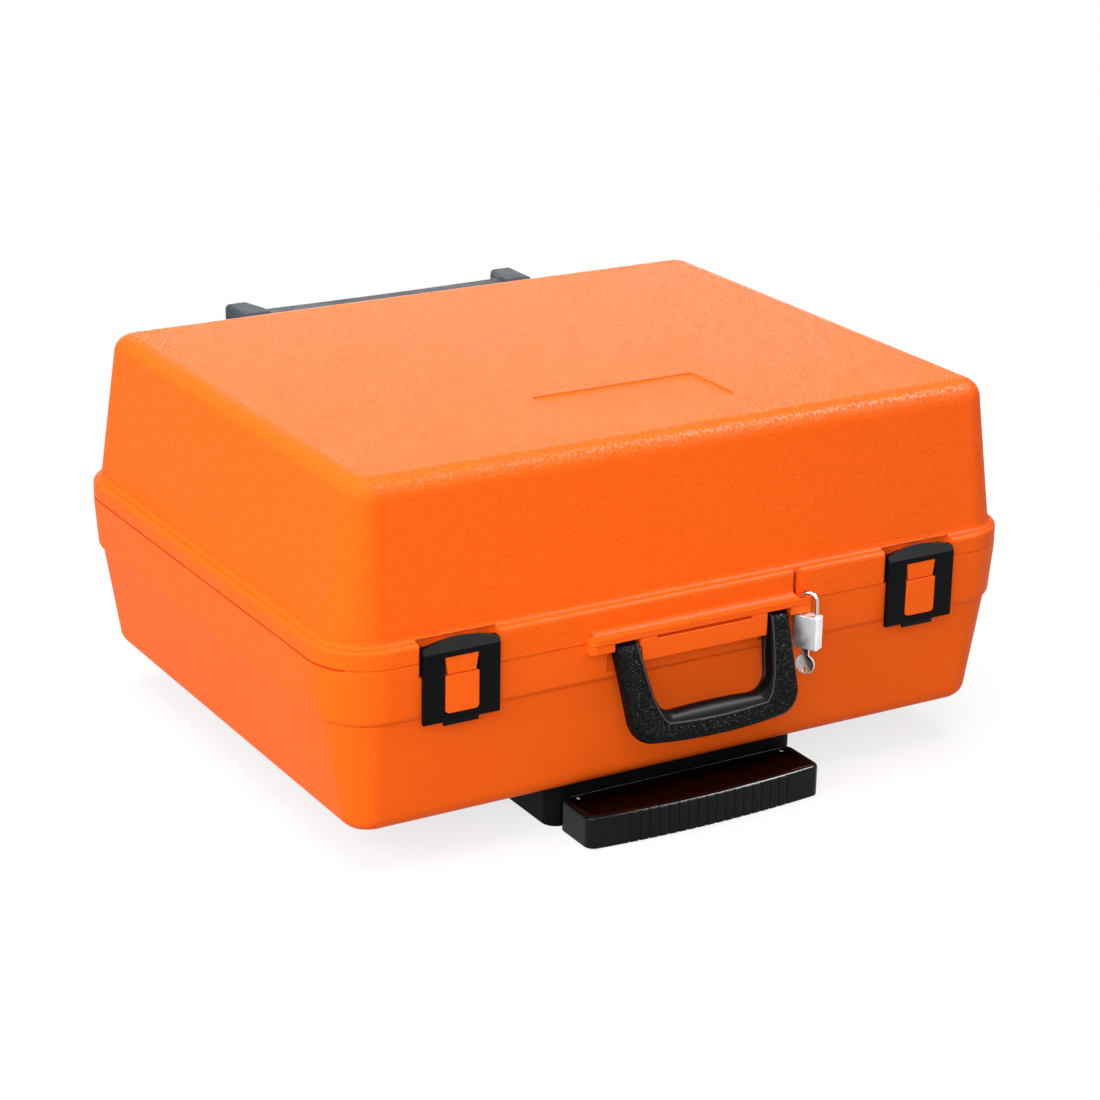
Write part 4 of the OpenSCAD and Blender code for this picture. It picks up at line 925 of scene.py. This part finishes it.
grip_black = black_finish("grip_black", low=0.13, high=0.2, edge_radius=0.8 * mm, gloss=0.115)
moulded("grip_moulding", "grip_body", "tele_grip", "black_plastic", grip_black)
cover_gloss = black_finish(
    "cover_gloss", low=0.06, high=0.14, edge_radius=0.4 * mm, gloss=0.025,
    tone=cover_red_painted_reflection, worn=cover_worn,
)
moulded("grip_cover_plate", "grip_cover", "tele_grip", "black_gloss", cover_gloss, broken=cover_edge)
cover_screw = cross_head_screw(
    "cover_screw", head_r=2 * mm, head_h=1.2 * mm, shank_r=1 * mm, length=7 * mm, slot=0.5 * mm
)
cover_screw_set = grown("cover_screw_set", cover_screw, rows_tree, {
    "Columns": 2, "Rows": 1, "Pitch X": cover_screw_pitch, "Pitch Y": 0.0,
    "Middle": cover_screw_middle, "Seed": 8, "Finish": steel,
})
dressed(
    "cover_screw_set", cover_screw_set, "tele_grip", "bright_steel", steel, screw_sharp, "grip_screws"
)

# Axle and its fittings: a turned steel bar through the chassis lugs, with plastic spacers and end caps.
# The caps are pressed on, and keep the wheels in place.
dress_node(steel, "axle")
dress_node(chassis_black, "axle_caps", "wheel_spacers")

# Toe plate: a thick charcoal moulding with ribs on its back, which folds down on the axle.
# Its two feet carry the upright trolley; their tops are rounded and run into the plate.
charcoal_tone, charcoal_worn = (0.036, 0.046, 0.050, 1), (0.072, 0.088, 0.096, 1)
charcoal = black_finish(
    "charcoal_moulding", low=0.42, high=0.56, edge_radius=1.2 * mm, gloss=0.05,
    tone=charcoal_tone, worn=charcoal_worn,
)
moulded("toe_board", "toe_plate", "toe_plate", "charcoal_plastic", charcoal)

# Wheels: a spoked charcoal hub with a black rubber tyre shrunk on it.
# Two staggered rows of blocks are moulded round the tyre as its tread.
wheel_middle = (124.5 * mm, 262 * mm, 31 * mm)
tyre_r = 30 * mm
tyre_bore = 24.02 * mm
tyre_half = 9 * mm
tyre_shoulder = 2.6 * mm
tyre_sides = 72
tyre_sharp = 30.0
tread_depth = 0.9 * mm
tread_blocks = 30
tread_block_size = (2.1 * mm, 5.6 * mm, 4.2 * mm)
tread_block_sunk = 1.15 * mm
tread_row_offset = 3.2 * mm

dress_node(charcoal, "wheel_hub_left", "wheel_hub_right")
tyre_rubber = black_finish("tyre_rubber", low=0.62, high=0.8, edge_radius=0.3 * mm, gloss=0.1)

# Tread: blocks on a circle about Z, in two rows half a step apart, then laid over to the axle.
tread_tree, tread_in, tread_out = geometry_tree("tyre_tread", [
    ("Blocks", "Int"), ("Radius", "Float"), ("Block Size", "Vector"), ("Row Offset", "Float"),
    ("Middle", "Vector"), ("Finish", "Material"),
])
tread_block = joined(tread_tree, "GeometryNodeMeshCube", ("Size", tread_in.outputs["Block Size"]))
tread_step = math_node(tread_tree, "DIVIDE", math.pi, tread_in.outputs["Blocks"])
tread_parts = joined(tread_tree, "GeometryNodeJoinGeometry")
tread_tree.links.new(tread_in.outputs["Geometry"], tread_parts.inputs[0])
for row in (-1, 1):
    ring = joined(
        tread_tree, "GeometryNodeCurvePrimitiveCircle", ("Resolution", tread_in.outputs["Blocks"]),
        ("Radius", tread_in.outputs["Radius"]),
    )
    spots = joined(
        tread_tree, "GeometryNodeCurveToPoints", ("Curve", ring.outputs["Curve"]), mode="EVALUATED"
    )
    blocks = joined(
        tread_tree, "GeometryNodeInstanceOnPoints", ("Points", spots.outputs["Points"]),
        ("Instance", tread_block.outputs["Mesh"]), ("Rotation", spots.outputs["Rotation"]),
    )
    row_shift = math_node(tread_tree, "MULTIPLY", tread_in.outputs["Row Offset"], float(row))
    row_turn = math_node(tread_tree, "MULTIPLY", tread_step, float(row > 0))
    shift = joined(tread_tree, "ShaderNodeCombineXYZ", ("Z", row_shift))
    turn = joined(tread_tree, "ShaderNodeCombineXYZ", ("Z", row_turn))
    laid = joined(
        tread_tree, "GeometryNodeTransform", ("Geometry", blocks.outputs[0]),
        ("Translation", shift.outputs[0]), ("Rotation", turn.outputs[0]),
    )
    tread_tree.links.new(laid.outputs[0], tread_parts.inputs[0])
tread_over = joined(
    tread_tree, "GeometryNodeTransform", ("Geometry", tread_parts.outputs[0]),
    ("Rotation", (0.0, math.pi / 2, 0.0)), ("Translation", tread_in.outputs["Middle"]),
)
tread_plain = joined(tread_tree, "GeometryNodeRealizeInstances", ("Geometry", tread_over.outputs[0]))
tread_dressed = joined(
    tread_tree, "GeometryNodeSetMaterial", ("Geometry", tread_plain.outputs[0]),
    ("Material", tread_in.outputs["Finish"]),
)
tread_tree.links.new(tread_dressed.outputs[0], tread_out.inputs[0])


def tyre_body(name):
    """Tyre without its tread, turned about Z as a closed ring."""
    tread_r = tyre_r - tread_depth
    shoulder = tyre_shoulder
    profile = [(tyre_bore, -tyre_half), (tread_r - shoulder, -tyre_half)]
    for end in (-1, 1):
        for step in range(6):
            turn = math.radians(15 * step if end > 0 else 75 - 15 * step)
            profile.append((
                tread_r - shoulder + shoulder * math.cos(turn),
                end * (tyre_half - shoulder + shoulder * math.sin(turn)),
            ))
    profile += [(tread_r - shoulder, tyre_half), (tyre_bore, tyre_half)]
    sides = tyre_sides
    count = len(profile)
    verts = [
        (r * math.cos(2 * math.pi * k / sides), r * math.sin(2 * math.pi * k / sides), z)
        for k in range(sides) for r, z in profile
    ]
    faces = [
        (k * count + i, k * count + (i + 1) % count,
         (k + 1) % sides * count + (i + 1) % count, (k + 1) % sides * count + i)
        for k in range(sides) for i in range(count)
    ]
    mesh = bpy.data.meshes.new(name)
    mesh.from_pydata(verts, [], faces)
    outward(mesh)
    return mesh


for side, sign in (("left", -1), ("right", 1)):
    tyre = grown("tyre_" + side, tyre_body("tyre_" + side), tread_tree, {
        "Blocks": tread_blocks, "Radius": tyre_r - tread_block_sunk, "Block Size": tread_block_size,
        "Row Offset": tread_row_offset, "Finish": tyre_rubber,
        "Middle": (sign * wheel_middle[0], wheel_middle[1], wheel_middle[2]),
    })
    dressed(
        "tyre_" + side, tyre, "wheel_" + side, "wheel_rubber", tyre_rubber, tyre_sharp,
        "wheel_tyre_" + side,
    )
